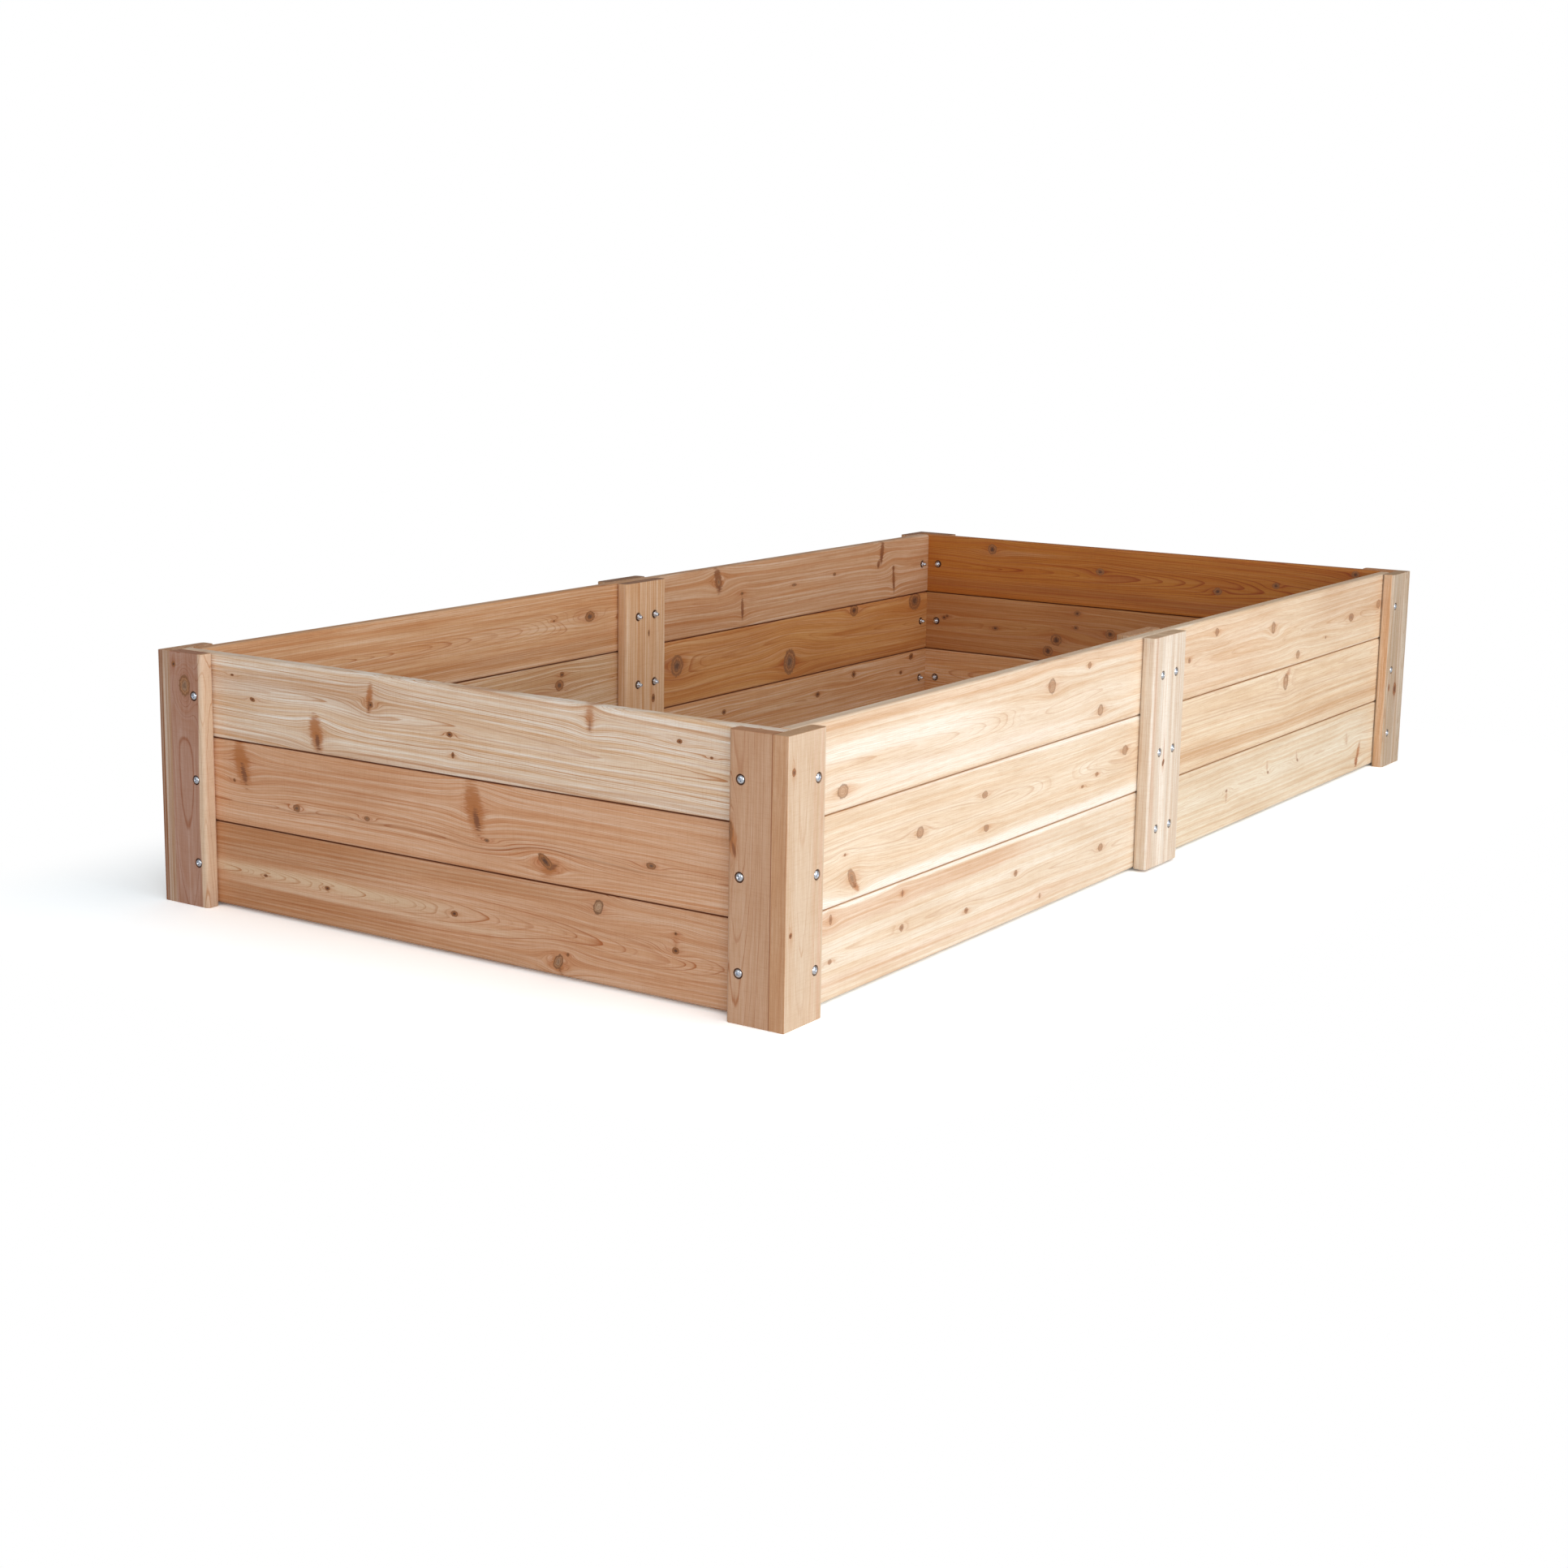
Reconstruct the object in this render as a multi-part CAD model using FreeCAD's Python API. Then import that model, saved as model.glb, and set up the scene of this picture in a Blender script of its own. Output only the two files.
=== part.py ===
import FreeCAD, Part
import math
import os

from FreeCAD import Placement, Rotation, Vector

# Raised garden bed: a bottomless box of cedar boards, with L-shaped corner posts and centre braces.
# X runs along the length, Y across the width, Z up. The origin is on the ground under the centre.
# "Front" is the long side at -Y and "left" the short end at -X. All lengths are in millimetres.

# Overall size, over the corner posts
bed_length = 2438.4
bed_width = 1219.2

# Boards
board_thickness = 25.4
course_height = 137.5  # width of a wall board, which lies on its edge
course_names = ["bottom", "middle", "top"]
edge_radius = 6.0  # rounded long edges of the stock
ground_gap = 4.5  # the walls and braces stop this far above the ground
butt_gap = 1.2  # between the two boards of one course in a long wall
corner_leg = 98.0  # width of a corner post on each of its two faces
brace_width = 130.0

# Bolts, in recesses outside
bolt_diameter = 6.35
hole_clearance = 0.75  # what a bolt hole is wider than its bolt
head_diameter = 12.6
head_crown_diameter = 8.0
head_height = 4.4
recess_diameter = 16.0
recess_depth = 3.4

# Lock nuts, in counterbores inside
nut_across_flats = 11.1
nut_hexagon_height = 5.4
nut_height = 7.9
nut_crown_diameter = 9.0  # the nut tapers to this above its hexagon
nut_seat_diameter = 17.5
nut_seat_depth = 3.0
thread_clearance = 0.1  # what a nut's bore is wider than its bolt
thread_past_nut = 4.85

# Where the bolts go
post_bolt_edge_distance = 20.0  # from a corner board's free edge
brace_bolt_spacing = 55.0  # between a brace's two columns

# The small rounds repeat often, so each is drawn with a few flats that touch its circle
round_sides = 8

half_length = bed_length / 2
half_width = bed_width / 2
wall_height = course_height * len(course_names)
bed_height = ground_gap + wall_height
post_stack = 2 * board_thickness  # a corner board and a wall
brace_stack = 3 * board_thickness  # an outer brace, a wall and an inner brace
tool_overrun = 1.0  # how far a cutting tool runs out of the wood


def rounded_section(low, high, radii, place):
    """Face of a rectangle from low to high, with one radius for each corner, counted round from low."""
    corners = [(low[0], low[1]), (high[0], low[1]), (high[0], high[1]), (low[0], high[1])]
    directions = [(1, 0), (0, 1), (-1, 0), (0, -1)]
    diagonal = 1 - math.sqrt(0.5)
    starts, middles, ends = [], [], []
    for i, (corner, radius) in enumerate(zip(corners, radii)):
        after = directions[i]
        before = directions[i - 1]
        inward = (after[0] - before[0], after[1] - before[1])
        starts.append(place(corner[0] - before[0] * radius, corner[1] - before[1] * radius))
        middles.append(place(corner[0] + inward[0] * radius * diagonal, corner[1] + inward[1] * radius * diagonal))
        ends.append(place(corner[0] + after[0] * radius, corner[1] + after[1] * radius))
    edges = []
    for i, radius in enumerate(radii):
        if radius > 0:
            edges.append(Part.Arc(starts[i], middles[i], ends[i]).toShape())
        edges.append(Part.LineSegment(ends[i], starts[(i + 1) % 4]).toShape())
    return Part.Face(Part.Wire(edges))


def board_along_x(low, high, radii):
    """Board from corner low to corner high, with its grain along X."""
    section = rounded_section(
        (low[1], low[2]), (high[1], high[2]), radii, lambda y, z: Vector(low[0], y, z)
    )
    return section.extrude(Vector(high[0] - low[0], 0, 0))


def board_along_y(low, high, radii):
    """Board from corner low to corner high, with its grain along Y."""
    section = rounded_section(
        (low[0], low[2]), (high[0], high[2]), radii, lambda x, z: Vector(x, low[1], z)
    )
    return section.extrude(Vector(0, high[1] - low[1], 0))


def board_along_z(low, high, radii):
    """Upright board from corner low to corner high."""
    section = rounded_section(
        (low[0], low[1]), (high[0], high[1]), radii, lambda x, y: Vector(x, y, low[2])
    )
    return section.extrude(Vector(0, 0, high[2] - low[2]))


def turned(profile, sides):
    """Solid turned about Z through (diameter, z) pairs, drawn with flats that touch its circles."""
    rings = []
    for diameter, z in profile:
        reach = diameter / 2 / math.cos(math.pi / sides)
        angles = [math.pi * (2 * i + 1) / sides for i in range(sides)]
        rings.append([Vector(reach * math.cos(angle), reach * math.sin(angle), z) for angle in angles])
    outlines = [rings[0], rings[-1]]
    for low, high in zip(rings, rings[1:]):
        outlines += [[low[i - 1], low[i], high[i], high[i - 1]] for i in range(sides)]
    faces = [Part.Face(Part.makePolygon(outline + outline[:1])) for outline in outlines]
    return Part.Solid(Part.Shell(faces)).removeSplitter()


# Fasteners are drawn along Z, with the outer face of the wood at z = 0 and the wood above it.


def stepped_hole(stack):
    """Tool that cuts the head's recess, the bolt hole and the nut's counterbore."""
    hole_diameter = bolt_diameter + hole_clearance
    nut_seat_z = stack - nut_seat_depth
    profile = [
        (recess_diameter, -tool_overrun),
        (recess_diameter, recess_depth),
        (hole_diameter, recess_depth),
        (hole_diameter, nut_seat_z),
        (nut_seat_diameter, nut_seat_z),
        (nut_seat_diameter, stack + tool_overrun),
    ]
    return turned(profile, round_sides)


def bolt(stack):
    """Pan-head bolt, whose head sits on the floor of its recess."""
    tip_z = stack - nut_seat_depth + nut_height + thread_past_nut
    profile = [
        (head_crown_diameter, recess_depth - head_height),
        (head_diameter, recess_depth),
        (bolt_diameter, recess_depth),
        (bolt_diameter, tip_z),
    ]
    return turned(profile, round_sides)


def lock_nut(stack):
    """Hexagon nut that tapers above its flats, seated on the floor of its counterbore."""
    seat_z = stack - nut_seat_depth
    top_z = seat_z + nut_height
    profile = [
        (nut_across_flats, seat_z),
        (nut_across_flats, seat_z + nut_hexagon_height),
        (nut_crown_diameter, top_z),
    ]
    bore_diameter = bolt_diameter + thread_clearance
    bore_profile = [(bore_diameter, seat_z - tool_overrun), (bore_diameter, top_z + tool_overrun)]
    return turned(profile, 6).cut(turned(bore_profile, round_sides))


def placed(shape, positions, inward):
    """Copies of a fastener or tool at these points of the outer face, pointing inward."""
    turn = Rotation(Vector(0, 0, 1), inward)
    copies = []
    for position in positions:
        copy = shape.copy()
        copy.Placement = Placement(position, turn)
        copies.append(copy)
    return copies


def mirrored(shape, across_x, across_y):
    if across_x:
        shape = shape.mirror(Vector(0, 0, 0), Vector(1, 0, 0))
    if across_y:
        shape = shape.mirror(Vector(0, 0, 0), Vector(0, 1, 0))
    return shape


# Everything below is drawn for the front left quarter, and mirrored to the others.

front = -half_width  # outer face of the front corner boards and outer brace
left = -half_length  # outer face of the left corner boards
post_bolt_setback = corner_leg - post_bolt_edge_distance  # from the post's outer arris
course_middles = [ground_gap + course_height * (i + 0.5) for i in range(len(course_names))]

end_face_bolts = [Vector(left, front + post_bolt_setback, z) for z in course_middles]
side_face_bolts = [Vector(left + post_bolt_setback, front, z) for z in course_middles]
brace_bolts = [
    Vector(side * brace_bolt_spacing / 2, front, z) for side in (-1, 1) for z in course_middles
]
inward_from_end = Vector(1, 0, 0)
inward_from_side = Vector(0, 1, 0)

end_holes = placed(stepped_hole(post_stack), end_face_bolts, inward_from_end)
side_holes = placed(stepped_hole(post_stack), side_face_bolts, inward_from_side)
brace_holes = placed(stepped_hole(brace_stack), brace_bolts, inward_from_side)


def drilled(board, holes):
    """The board with those holes that reach it cut through it."""
    reached = [hole for hole in holes if hole.BoundBox.intersect(board.BoundBox)]
    return board.cut(reached)


def long_wall_board(course):
    """Left half of one course of the front wall."""
    low_z = ground_gap + course_height * course
    low = (left + 2 * board_thickness, front + board_thickness, low_z)
    high = (-butt_gap / 2, front + 2 * board_thickness, low_z + course_height)
    board = board_along_x(low, high, [edge_radius] * 4)
    return drilled(board, side_holes + brace_holes)


def end_wall_board(course):
    """One course of the left end wall, which runs between the side boards of two posts."""
    low_z = ground_gap + course_height * course
    low = (left + board_thickness, front + board_thickness, low_z)
    high = (left + 2 * board_thickness, -front - board_thickness, low_z + course_height)
    board = board_along_y(low, high, [edge_radius] * 4)
    far_holes = [mirrored(hole, False, True) for hole in end_holes]
    return drilled(board, end_holes + far_holes)


def corner_side_board():
    """Post board on the long side. It runs out to the arris and covers the end board's edge."""
    low = (left, front, 0)
    high = (left + corner_leg, front + board_thickness, bed_height)
    board = board_along_z(low, high, [0, edge_radius, edge_radius, 0])
    return drilled(board, side_holes)


def corner_end_board():
    """Post board on the short end, butted behind the side board."""
    low = (left, front + board_thickness, 0)
    high = (left + board_thickness, front + corner_leg, bed_height)
    board = board_along_z(low, high, [0, 0, edge_radius, edge_radius])
    return drilled(board, end_holes)


def brace(outer_face):
    """Upright board over the butt joint, with its outer face at this y."""
    low = (-brace_width / 2, outer_face, ground_gap)
    high = (brace_width / 2, outer_face + board_thickness, bed_height)
    board = board_along_z(low, high, [edge_radius] * 4)
    return drilled(board, brace_holes)


def post_fasteners(make):
    """The six bolts, or the six nuts, of the front left post."""
    fastener = make(post_stack)
    on_end = placed(fastener, end_face_bolts, inward_from_end)
    on_side = placed(fastener, side_face_bolts, inward_from_side)
    return Part.makeCompound(on_end + on_side)


def brace_fasteners(make):
    """The six bolts, or the six nuts, of the front braces."""
    return Part.makeCompound(placed(make(brace_stack), brace_bolts, inward_from_side))


nodes = {}

for course, course_name in enumerate(course_names):
    half = long_wall_board(course)
    full = end_wall_board(course)
    for end_name, at_right in (("left", False), ("right", True)):
        nodes[f"{end_name}_end_board_{course_name}"] = mirrored(full, at_right, False)
        for side_name, at_back in (("front", False), ("back", True)):
            name = f"{side_name}_wall_{end_name}_board_{course_name}"
            nodes[name] = mirrored(half, at_right, at_back)

post_pieces = {
    "side_board": corner_side_board(),
    "end_board": corner_end_board(),
    "bolts": post_fasteners(bolt),
    "nuts": post_fasteners(lock_nut),
}
for piece_name, piece in post_pieces.items():
    for end_name, at_right in (("left", False), ("right", True)):
        for side_name, at_back in (("front", False), ("back", True)):
            nodes[f"{side_name}_{end_name}_corner_{piece_name}"] = mirrored(piece, at_right, at_back)

brace_pieces = {
    "outer_brace": brace(front),
    "inner_brace": brace(front + 2 * board_thickness),
    "brace_bolts": brace_fasteners(bolt),
    "brace_nuts": brace_fasteners(lock_nut),
}
for piece_name, piece in brace_pieces.items():
    for side_name, at_back in (("front", False), ("back", True)):
        nodes[f"{side_name}_{piece_name}"] = mirrored(piece, False, at_back)

os.makedirs("parts", exist_ok=True)
for name, shape in nodes.items():
    shape.exportStep(f"parts/{name}.step")
    print(name, len(shape.Solids), round(shape.Volume))
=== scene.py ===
import math
import bmesh
import bpy
import numpy as np
from mathutils import Matrix, Vector


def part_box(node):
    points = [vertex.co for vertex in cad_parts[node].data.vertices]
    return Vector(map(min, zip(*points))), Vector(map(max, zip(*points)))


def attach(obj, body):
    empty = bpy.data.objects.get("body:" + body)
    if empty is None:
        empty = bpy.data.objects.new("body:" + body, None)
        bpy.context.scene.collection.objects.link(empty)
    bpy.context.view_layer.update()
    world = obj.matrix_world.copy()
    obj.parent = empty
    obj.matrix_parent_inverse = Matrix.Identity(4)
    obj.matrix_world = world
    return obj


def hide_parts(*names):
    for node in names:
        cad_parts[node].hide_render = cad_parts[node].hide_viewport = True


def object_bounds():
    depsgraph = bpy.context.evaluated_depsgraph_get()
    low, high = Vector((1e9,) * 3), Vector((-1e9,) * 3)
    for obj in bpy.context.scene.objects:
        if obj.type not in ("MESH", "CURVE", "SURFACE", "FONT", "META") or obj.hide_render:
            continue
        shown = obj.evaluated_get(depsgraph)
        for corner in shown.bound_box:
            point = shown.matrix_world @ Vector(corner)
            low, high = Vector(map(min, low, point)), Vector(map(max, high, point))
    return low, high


# Raised garden bed of cedar boards on a white studio floor.
# Lengths are in metres; those of the wood figure and of the bolts and nuts are in millimetres.

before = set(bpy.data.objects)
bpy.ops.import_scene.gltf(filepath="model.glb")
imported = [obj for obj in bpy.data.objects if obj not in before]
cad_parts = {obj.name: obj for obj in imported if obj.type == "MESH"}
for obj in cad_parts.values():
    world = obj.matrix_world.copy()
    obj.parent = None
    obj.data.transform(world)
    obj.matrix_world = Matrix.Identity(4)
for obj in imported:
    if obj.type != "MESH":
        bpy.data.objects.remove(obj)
cadBox = [list(corner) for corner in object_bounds()]
millimetre = 0.001
print("frame loaded")


# Camera, solved from the photograph's corners, joints and bolts

cameraValues = {
    "place": (-3.9119, -2.36936, 1.02655),
    "turnDegrees": (78.72, -0.8415, -56.0574),
    "lens": 56.007,
    "sensorWidth": 36,
    "shift": (0.01343, -0.01548),
}


def makeCamera(values):
    data = bpy.data.cameras.new("camera")
    data.lens = values["lens"]
    data.sensor_width = values["sensorWidth"]
    data.shift_x, data.shift_y = values["shift"]
    camera = bpy.data.objects.new("camera", data)
    camera.location = values["place"]
    camera.rotation_euler = [math.radians(angle) for angle in values["turnDegrees"]]
    bpy.context.scene.collection.objects.link(camera)
    bpy.context.scene.camera = camera


makeCamera(cameraValues)
print("camera made")


# Node helpers


def addNode(tree, kind, inputs=None, **settings):
    # an input is either a plain value or the socket that is linked to it
    node = tree.nodes.new(kind)
    for key, value in settings.items():
        setattr(node, key, value)
    for key, value in (inputs or {}).items():
        if isinstance(value, bpy.types.NodeSocket):
            tree.links.new(value, node.inputs[key])
        else:
            node.inputs[key].default_value = value
    return node


def calc(tree, operation, *values):
    return addNode(tree, "ShaderNodeMath", dict(enumerate(values)), operation=operation).outputs[0]


def calcVector(tree, operation, *values):
    node = addNode(tree, "ShaderNodeVectorMath", dict(enumerate(values)), operation=operation)
    return node.outputs["Value" if operation == "LENGTH" else "Vector"]


def splitVector(tree, vector):
    return addNode(tree, "ShaderNodeSeparateXYZ", {0: vector}).outputs


def joinVector(tree, **parts):
    return addNode(tree, "ShaderNodeCombineXYZ", parts).outputs[0]


def smoothStep(tree, value, low, high):
    # 3 t^2 - 2 t^3, with t = (value - low) / (high - low)
    inputs = {"Value": value, "From Min": low, "From Max": high}
    return addNode(tree, "ShaderNodeMapRange", inputs, interpolation_type="SMOOTHSTEP").outputs["Result"]


def smoothFall(tree, value, low, high):
    return calc(tree, "SUBTRACT", 1, smoothStep(tree, value, low, high))


def mixColour(tree, factor, first, second, blend="MIX"):
    inputs = {0: factor, 6: first, 7: second}
    return addNode(tree, "ShaderNodeMix", inputs, data_type="RGBA", blend_type=blend).outputs[2]


def opaque(colour):
    return (*colour, 1)


def layColour(tree, under, mask, strength, over, blend="MULTIPLY"):
    # the colour under, blended with the one over it by mask strength
    return mixColour(tree, calc(tree, "MULTIPLY", mask, strength), under, opaque(over), blend)


def newGroup(name, vectors, floats, outputs):
    # vectors and floats name its inputs; all its outputs are floats
    tree = bpy.data.node_groups.new(name, "ShaderNodeTree")
    for label in vectors:
        tree.interface.new_socket(label, in_out="INPUT", socket_type="NodeSocketVector")
    for label in floats:
        tree.interface.new_socket(label, in_out="INPUT", socket_type="NodeSocketFloat")
    for label in outputs:
        tree.interface.new_socket(label, in_out="OUTPUT", socket_type="NodeSocketFloat")
    return tree, tree.nodes.new("NodeGroupInput").outputs, tree.nodes.new("NodeGroupOutput").inputs


def useGroup(tree, group, inputs):
    return addNode(tree, "ShaderNodeGroup", inputs, node_tree=group).outputs


def noise(tree, point, scale, detail=2.0, roughness=0.5):
    inputs = {"Vector": point, "Scale": scale, "Detail": detail, "Roughness": roughness}
    return addNode(tree, "ShaderNodeTexNoise", inputs).outputs["Fac"]


def lineNoise(tree, place, detail):
    inputs = {"W": place, "Scale": 1, "Detail": detail}
    return addNode(tree, "ShaderNodeTexNoise", inputs, noise_dimensions="1D").outputs["Fac"]


def stretched(tree, point, along, across):
    # point / (along, across, across)
    return calcVector(tree, "MULTIPLY", point, (1 / along, 1 / across, 1 / across))


# Wood figure, as node groups shared by all boards.
# A point is (along the grain, across the board, through its thickness) in mm from the board's centre.

knotDepthShare = 0.25  # how much a point's depth counts in its distance from a knot


def knotOffsets(tree, given):
    # point - centre, the same with its depth shared down, and turn(that) / half size
    offset = calcVector(tree, "SUBTRACT", given["Point"], given["Centre"])
    flat = calcVector(tree, "MULTIPLY", offset, (1, 1, knotDepthShare))
    turn = {"Vector": flat, "Angle": calc(tree, "MULTIPLY", given["Tilt"], -1)}
    turned = addNode(tree, "ShaderNodeVectorRotate", turn, rotation_type="Z_AXIS").outputs[0]
    return offset, flat, calcVector(tree, "DIVIDE", turned, given["Half Size"])


def makeKnotFlow():
    # distance = |turn(point - centre) / half size|, and the nearest knot's distance and tone are passed on
    # weight = 1 / (1 + |(point - centre) / flow size|^2), shift -= offset weight: lines pass round the knot
    # lift += height weight, which closes rings round it, and glow = max(glow, weight^3)
    vectors = ("Point", "Centre", "Half Size", "Flow Size")
    passed = ("Shift", "Lift", "Glow", "Nearest", "Nearest Tone")
    tree, given, result = newGroup("knotFlow", vectors, ("Tilt", "Tone", "Height", *passed), passed)
    offset, flat, scaled = knotOffsets(tree, given)
    distance = calcVector(tree, "LENGTH", scaled)
    flow = calcVector(tree, "LENGTH", calcVector(tree, "DIVIDE", flat, given["Flow Size"]))
    weight = calc(tree, "DIVIDE", 1, calc(tree, "ADD", calc(tree, "POWER", flow, 2), 1))
    across = splitVector(tree, offset)["Y"]
    closer = calc(tree, "LESS_THAN", distance, given["Nearest"])
    toneInputs = {0: closer, 2: given["Nearest Tone"], 3: given["Tone"]}
    found = {
        "Shift": calc(tree, "SUBTRACT", given["Shift"], calc(tree, "MULTIPLY", across, weight)),
        "Lift": calc(tree, "MULTIPLY_ADD", given["Height"], weight, given["Lift"]),
        "Glow": calc(tree, "MAXIMUM", calc(tree, "POWER", weight, 3), given["Glow"]),
        "Nearest": calc(tree, "MINIMUM", distance, given["Nearest"]),
        "Nearest Tone": addNode(tree, "ShaderNodeMix", toneInputs, data_type="FLOAT").outputs[0],
    }
    for label, socket in found.items():
        tree.links.new(socket, result[label])
    return tree


flameValues = {
    "jagSize": (16, 1.6),  # along and across the grain
    "jagReach": 1.5,
    "maskEdge": (0.45, 1.4),
    "rootPlace": (0.45, 0, 0),
    "rootScale": (1.5, 1.9, 1),
    "rootEdge": (0.3, 1.0),
}


def makeFlame(values):
    # stained streak across the grain, whose edge is drawn out along it:
    # mask = max(mask, strength (1 - smooth(|turn(point - centre) / half size| + jag)))
    # root is the same for a smaller streak at its lower end, whose distance is
    # |(turn(point - centre) / half size + root place) root scale|
    floats = ("Tilt", "Strength", "Mask", "Root")
    tree, given, result = newGroup("flame", ("Point", "Centre", "Half Size"), floats, ("Mask", "Root"))
    scaled = knotOffsets(tree, given)[2]
    lower = calcVector(tree, "ADD", scaled, values["rootPlace"])
    lower = calcVector(tree, "MULTIPLY", lower, values["rootScale"])
    field = noise(tree, stretched(tree, given["Point"], *values["jagSize"]), 1, 3)
    jag = calc(tree, "SUBTRACT", field, 0.5)
    for label, place, edge in (("Mask", scaled, values["maskEdge"]), ("Root", lower, values["rootEdge"])):
        distance = calc(tree, "MULTIPLY_ADD", jag, values["jagReach"], calcVector(tree, "LENGTH", place))
        mask = calc(tree, "MULTIPLY", smoothFall(tree, distance, *edge), given["Strength"])
        tree.links.new(calc(tree, "MAXIMUM", mask, given[label]), result[label])
    return tree


woodBandValues = {
    "waverSize": (330, 500),
    "waverReach": 16,
    "fibreSize": (70, 2.2),
}


def makeWoodBand(values):
    # mask of a band along the grain, between from and to, with a wavering and fibrous edge:
    # 1 - smooth((|across + waver + soft fibre - band| - half width) / soft)
    floats = ("Across", "Half Width", "Soft", "From", "To", "Fade", "Seed")
    tree, given, result = newGroup("woodBand", ("Point",), floats, ("Mask",))
    parts = splitVector(tree, given["Point"])
    seed = joinVector(tree, X=given["Seed"], Y=given["Across"])
    waver = 0.0
    for size, reach in ((values["waverSize"], values["waverReach"]), (values["fibreSize"], given["Soft"])):
        field = noise(tree, calcVector(tree, "ADD", stretched(tree, given["Point"], *size), seed), 1, 2)
        waver = calc(tree, "MULTIPLY_ADD", calc(tree, "SUBTRACT", field, 0.5), reach, waver)
    offset = calc(tree, "SUBTRACT", calc(tree, "ADD", parts["Y"], waver), given["Across"])
    outside = calc(tree, "SUBTRACT", calc(tree, "ABSOLUTE", offset), given["Half Width"])
    mask = smoothFall(tree, calc(tree, "DIVIDE", outside, given["Soft"]), -1, 1)
    for label, sign in (("From", 1), ("To", -1)):
        inside = calc(tree, "MULTIPLY", calc(tree, "SUBTRACT", parts["X"], given[label]), sign)
        fade = smoothStep(tree, calc(tree, "DIVIDE", inside, given["Fade"]), -1, 1)
        mask = calc(tree, "MULTIPLY", mask, fade)
    tree.links.new(mask, result["Mask"])
    return tree


growthRingValues = {
    # length along the grain, width across it, share of the wander
    "bends": ((700, 500, 1.0), (130, 60, 0.16), (30, 7, 0.06)),
}


def makeGrowthRings(values):
    # rings = |(across - slope along - pith across, depth - pith depth + taper along) + bends| + lift
    floats = ("Taper", "Slope", "Wander", "Lift", "Seed")
    tree, given, result = newGroup("growthRings", ("Point", "Pith"), floats, ("Rings",))
    seed = joinVector(tree, X=given["Seed"], Y=given["Seed"])
    parts = splitVector(tree, calcVector(tree, "SUBTRACT", given["Point"], given["Pith"]))
    bend = (0, 0, 0)
    for along, across, reach in values["bends"]:
        place = calcVector(tree, "ADD", stretched(tree, given["Point"], along, across), seed)
        field = addNode(tree, "ShaderNodeTexNoise", {"Vector": place, "Scale": 1, "Detail": 1})
        centred = calcVector(tree, "SUBTRACT", field.outputs["Color"], (0.5, 0.5, 0.5))
        bend = calcVector(tree, "ADD", bend, calcVector(tree, "MULTIPLY", centred, (0, reach, reach)))
    bendInputs = {0: bend, "Scale": given["Wander"]}
    bend = addNode(tree, "ShaderNodeVectorMath", bendInputs, operation="SCALE").outputs[0]
    rise = calc(tree, "MULTIPLY_ADD", parts["X"], given["Taper"], parts["Z"])
    drift = calc(tree, "SUBTRACT", parts["Y"], calc(tree, "MULTIPLY", parts["X"], given["Slope"]))
    section = joinVector(tree, Y=drift, Z=rise)
    rings = calcVector(tree, "LENGTH", calcVector(tree, "ADD", section, bend))
    tree.links.new(calc(tree, "ADD", rings, given["Lift"]), result["Rings"])
    return tree


ringToneValues = {
    "jitterRate": 0.37,
    "jitterReach": 2.2,
    "riseEnd": 0.93,
    "fallEdge": (0.94, 1),
    "bandRate": 0.13,
}


def makeRingTone(values):
    # count = rings / spacing + noise; late = smooth(fraction of count)^3, which falls at the ring's end;
    # band is a slow noise of the ring distance, and shade differs from ring to ring
    floats = ("Rings", "Spacing", "Start", "Seed")
    tree, given, result = newGroup("ringTone", (), floats, ("Late", "Shade", "Band"))
    count = calc(tree, "DIVIDE", given["Rings"], given["Spacing"])
    jitter = lineNoise(tree, calc(tree, "MULTIPLY_ADD", count, values["jitterRate"], given["Seed"]), 1)
    count = calc(tree, "MULTIPLY_ADD", jitter, values["jitterReach"], count)
    within = calc(tree, "FRACT", count)
    rise = smoothStep(tree, within, given["Start"], values["riseEnd"])
    fall = smoothFall(tree, within, *values["fallEdge"])
    late = calc(tree, "MULTIPLY", calc(tree, "POWER", rise, 3), fall)
    whole = calc(tree, "ADD", calc(tree, "FLOOR", count), given["Seed"])
    shade = addNode(tree, "ShaderNodeTexWhiteNoise", {"W": whole}, noise_dimensions="1D").outputs["Value"]
    band = lineNoise(tree, calc(tree, "MULTIPLY_ADD", given["Rings"], values["bandRate"], given["Seed"]), 2)
    tree.links.new(late, result["Late"])
    tree.links.new(shade, result["Shade"])
    tree.links.new(band, result["Band"])
    return tree


fibreValues = {
    # kind: length along the grain, width across it, noise detail
    "Fine": (30, 0.45, 3),
    "Streak": (380, 3.2, 4),
    "Cloud": (230, 38, 2),
    "Saw": (1.3, 24, 3),
}
fibreRoughness = 0.6


def makeFibre(values):
    # fine fibres, broad streaks and cloudy patches, long along the grain, and saw marks across it
    tree, given, result = newGroup("woodFibre", ("Point",), ("Seed",), values)
    seed = joinVector(tree, X=given["Seed"], Z=given["Seed"])
    for label, (along, across, detail) in values.items():
        place = calcVector(tree, "ADD", stretched(tree, given["Point"], along, across), seed)
        tree.links.new(noise(tree, place, 1, detail, fibreRoughness), result[label])
    return tree


knotFigureValues = {
    "wobbleRate": 0.22,
    "wobbleReach": 0.5,
    "coreEdge": (0.92, 1.1),
    "heartEdge": (0.25, 0.8),
    "rimPlace": 0.93,
    "rimEdge": (0.04, 0.24),
    "ringRate": 25,
}


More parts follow.
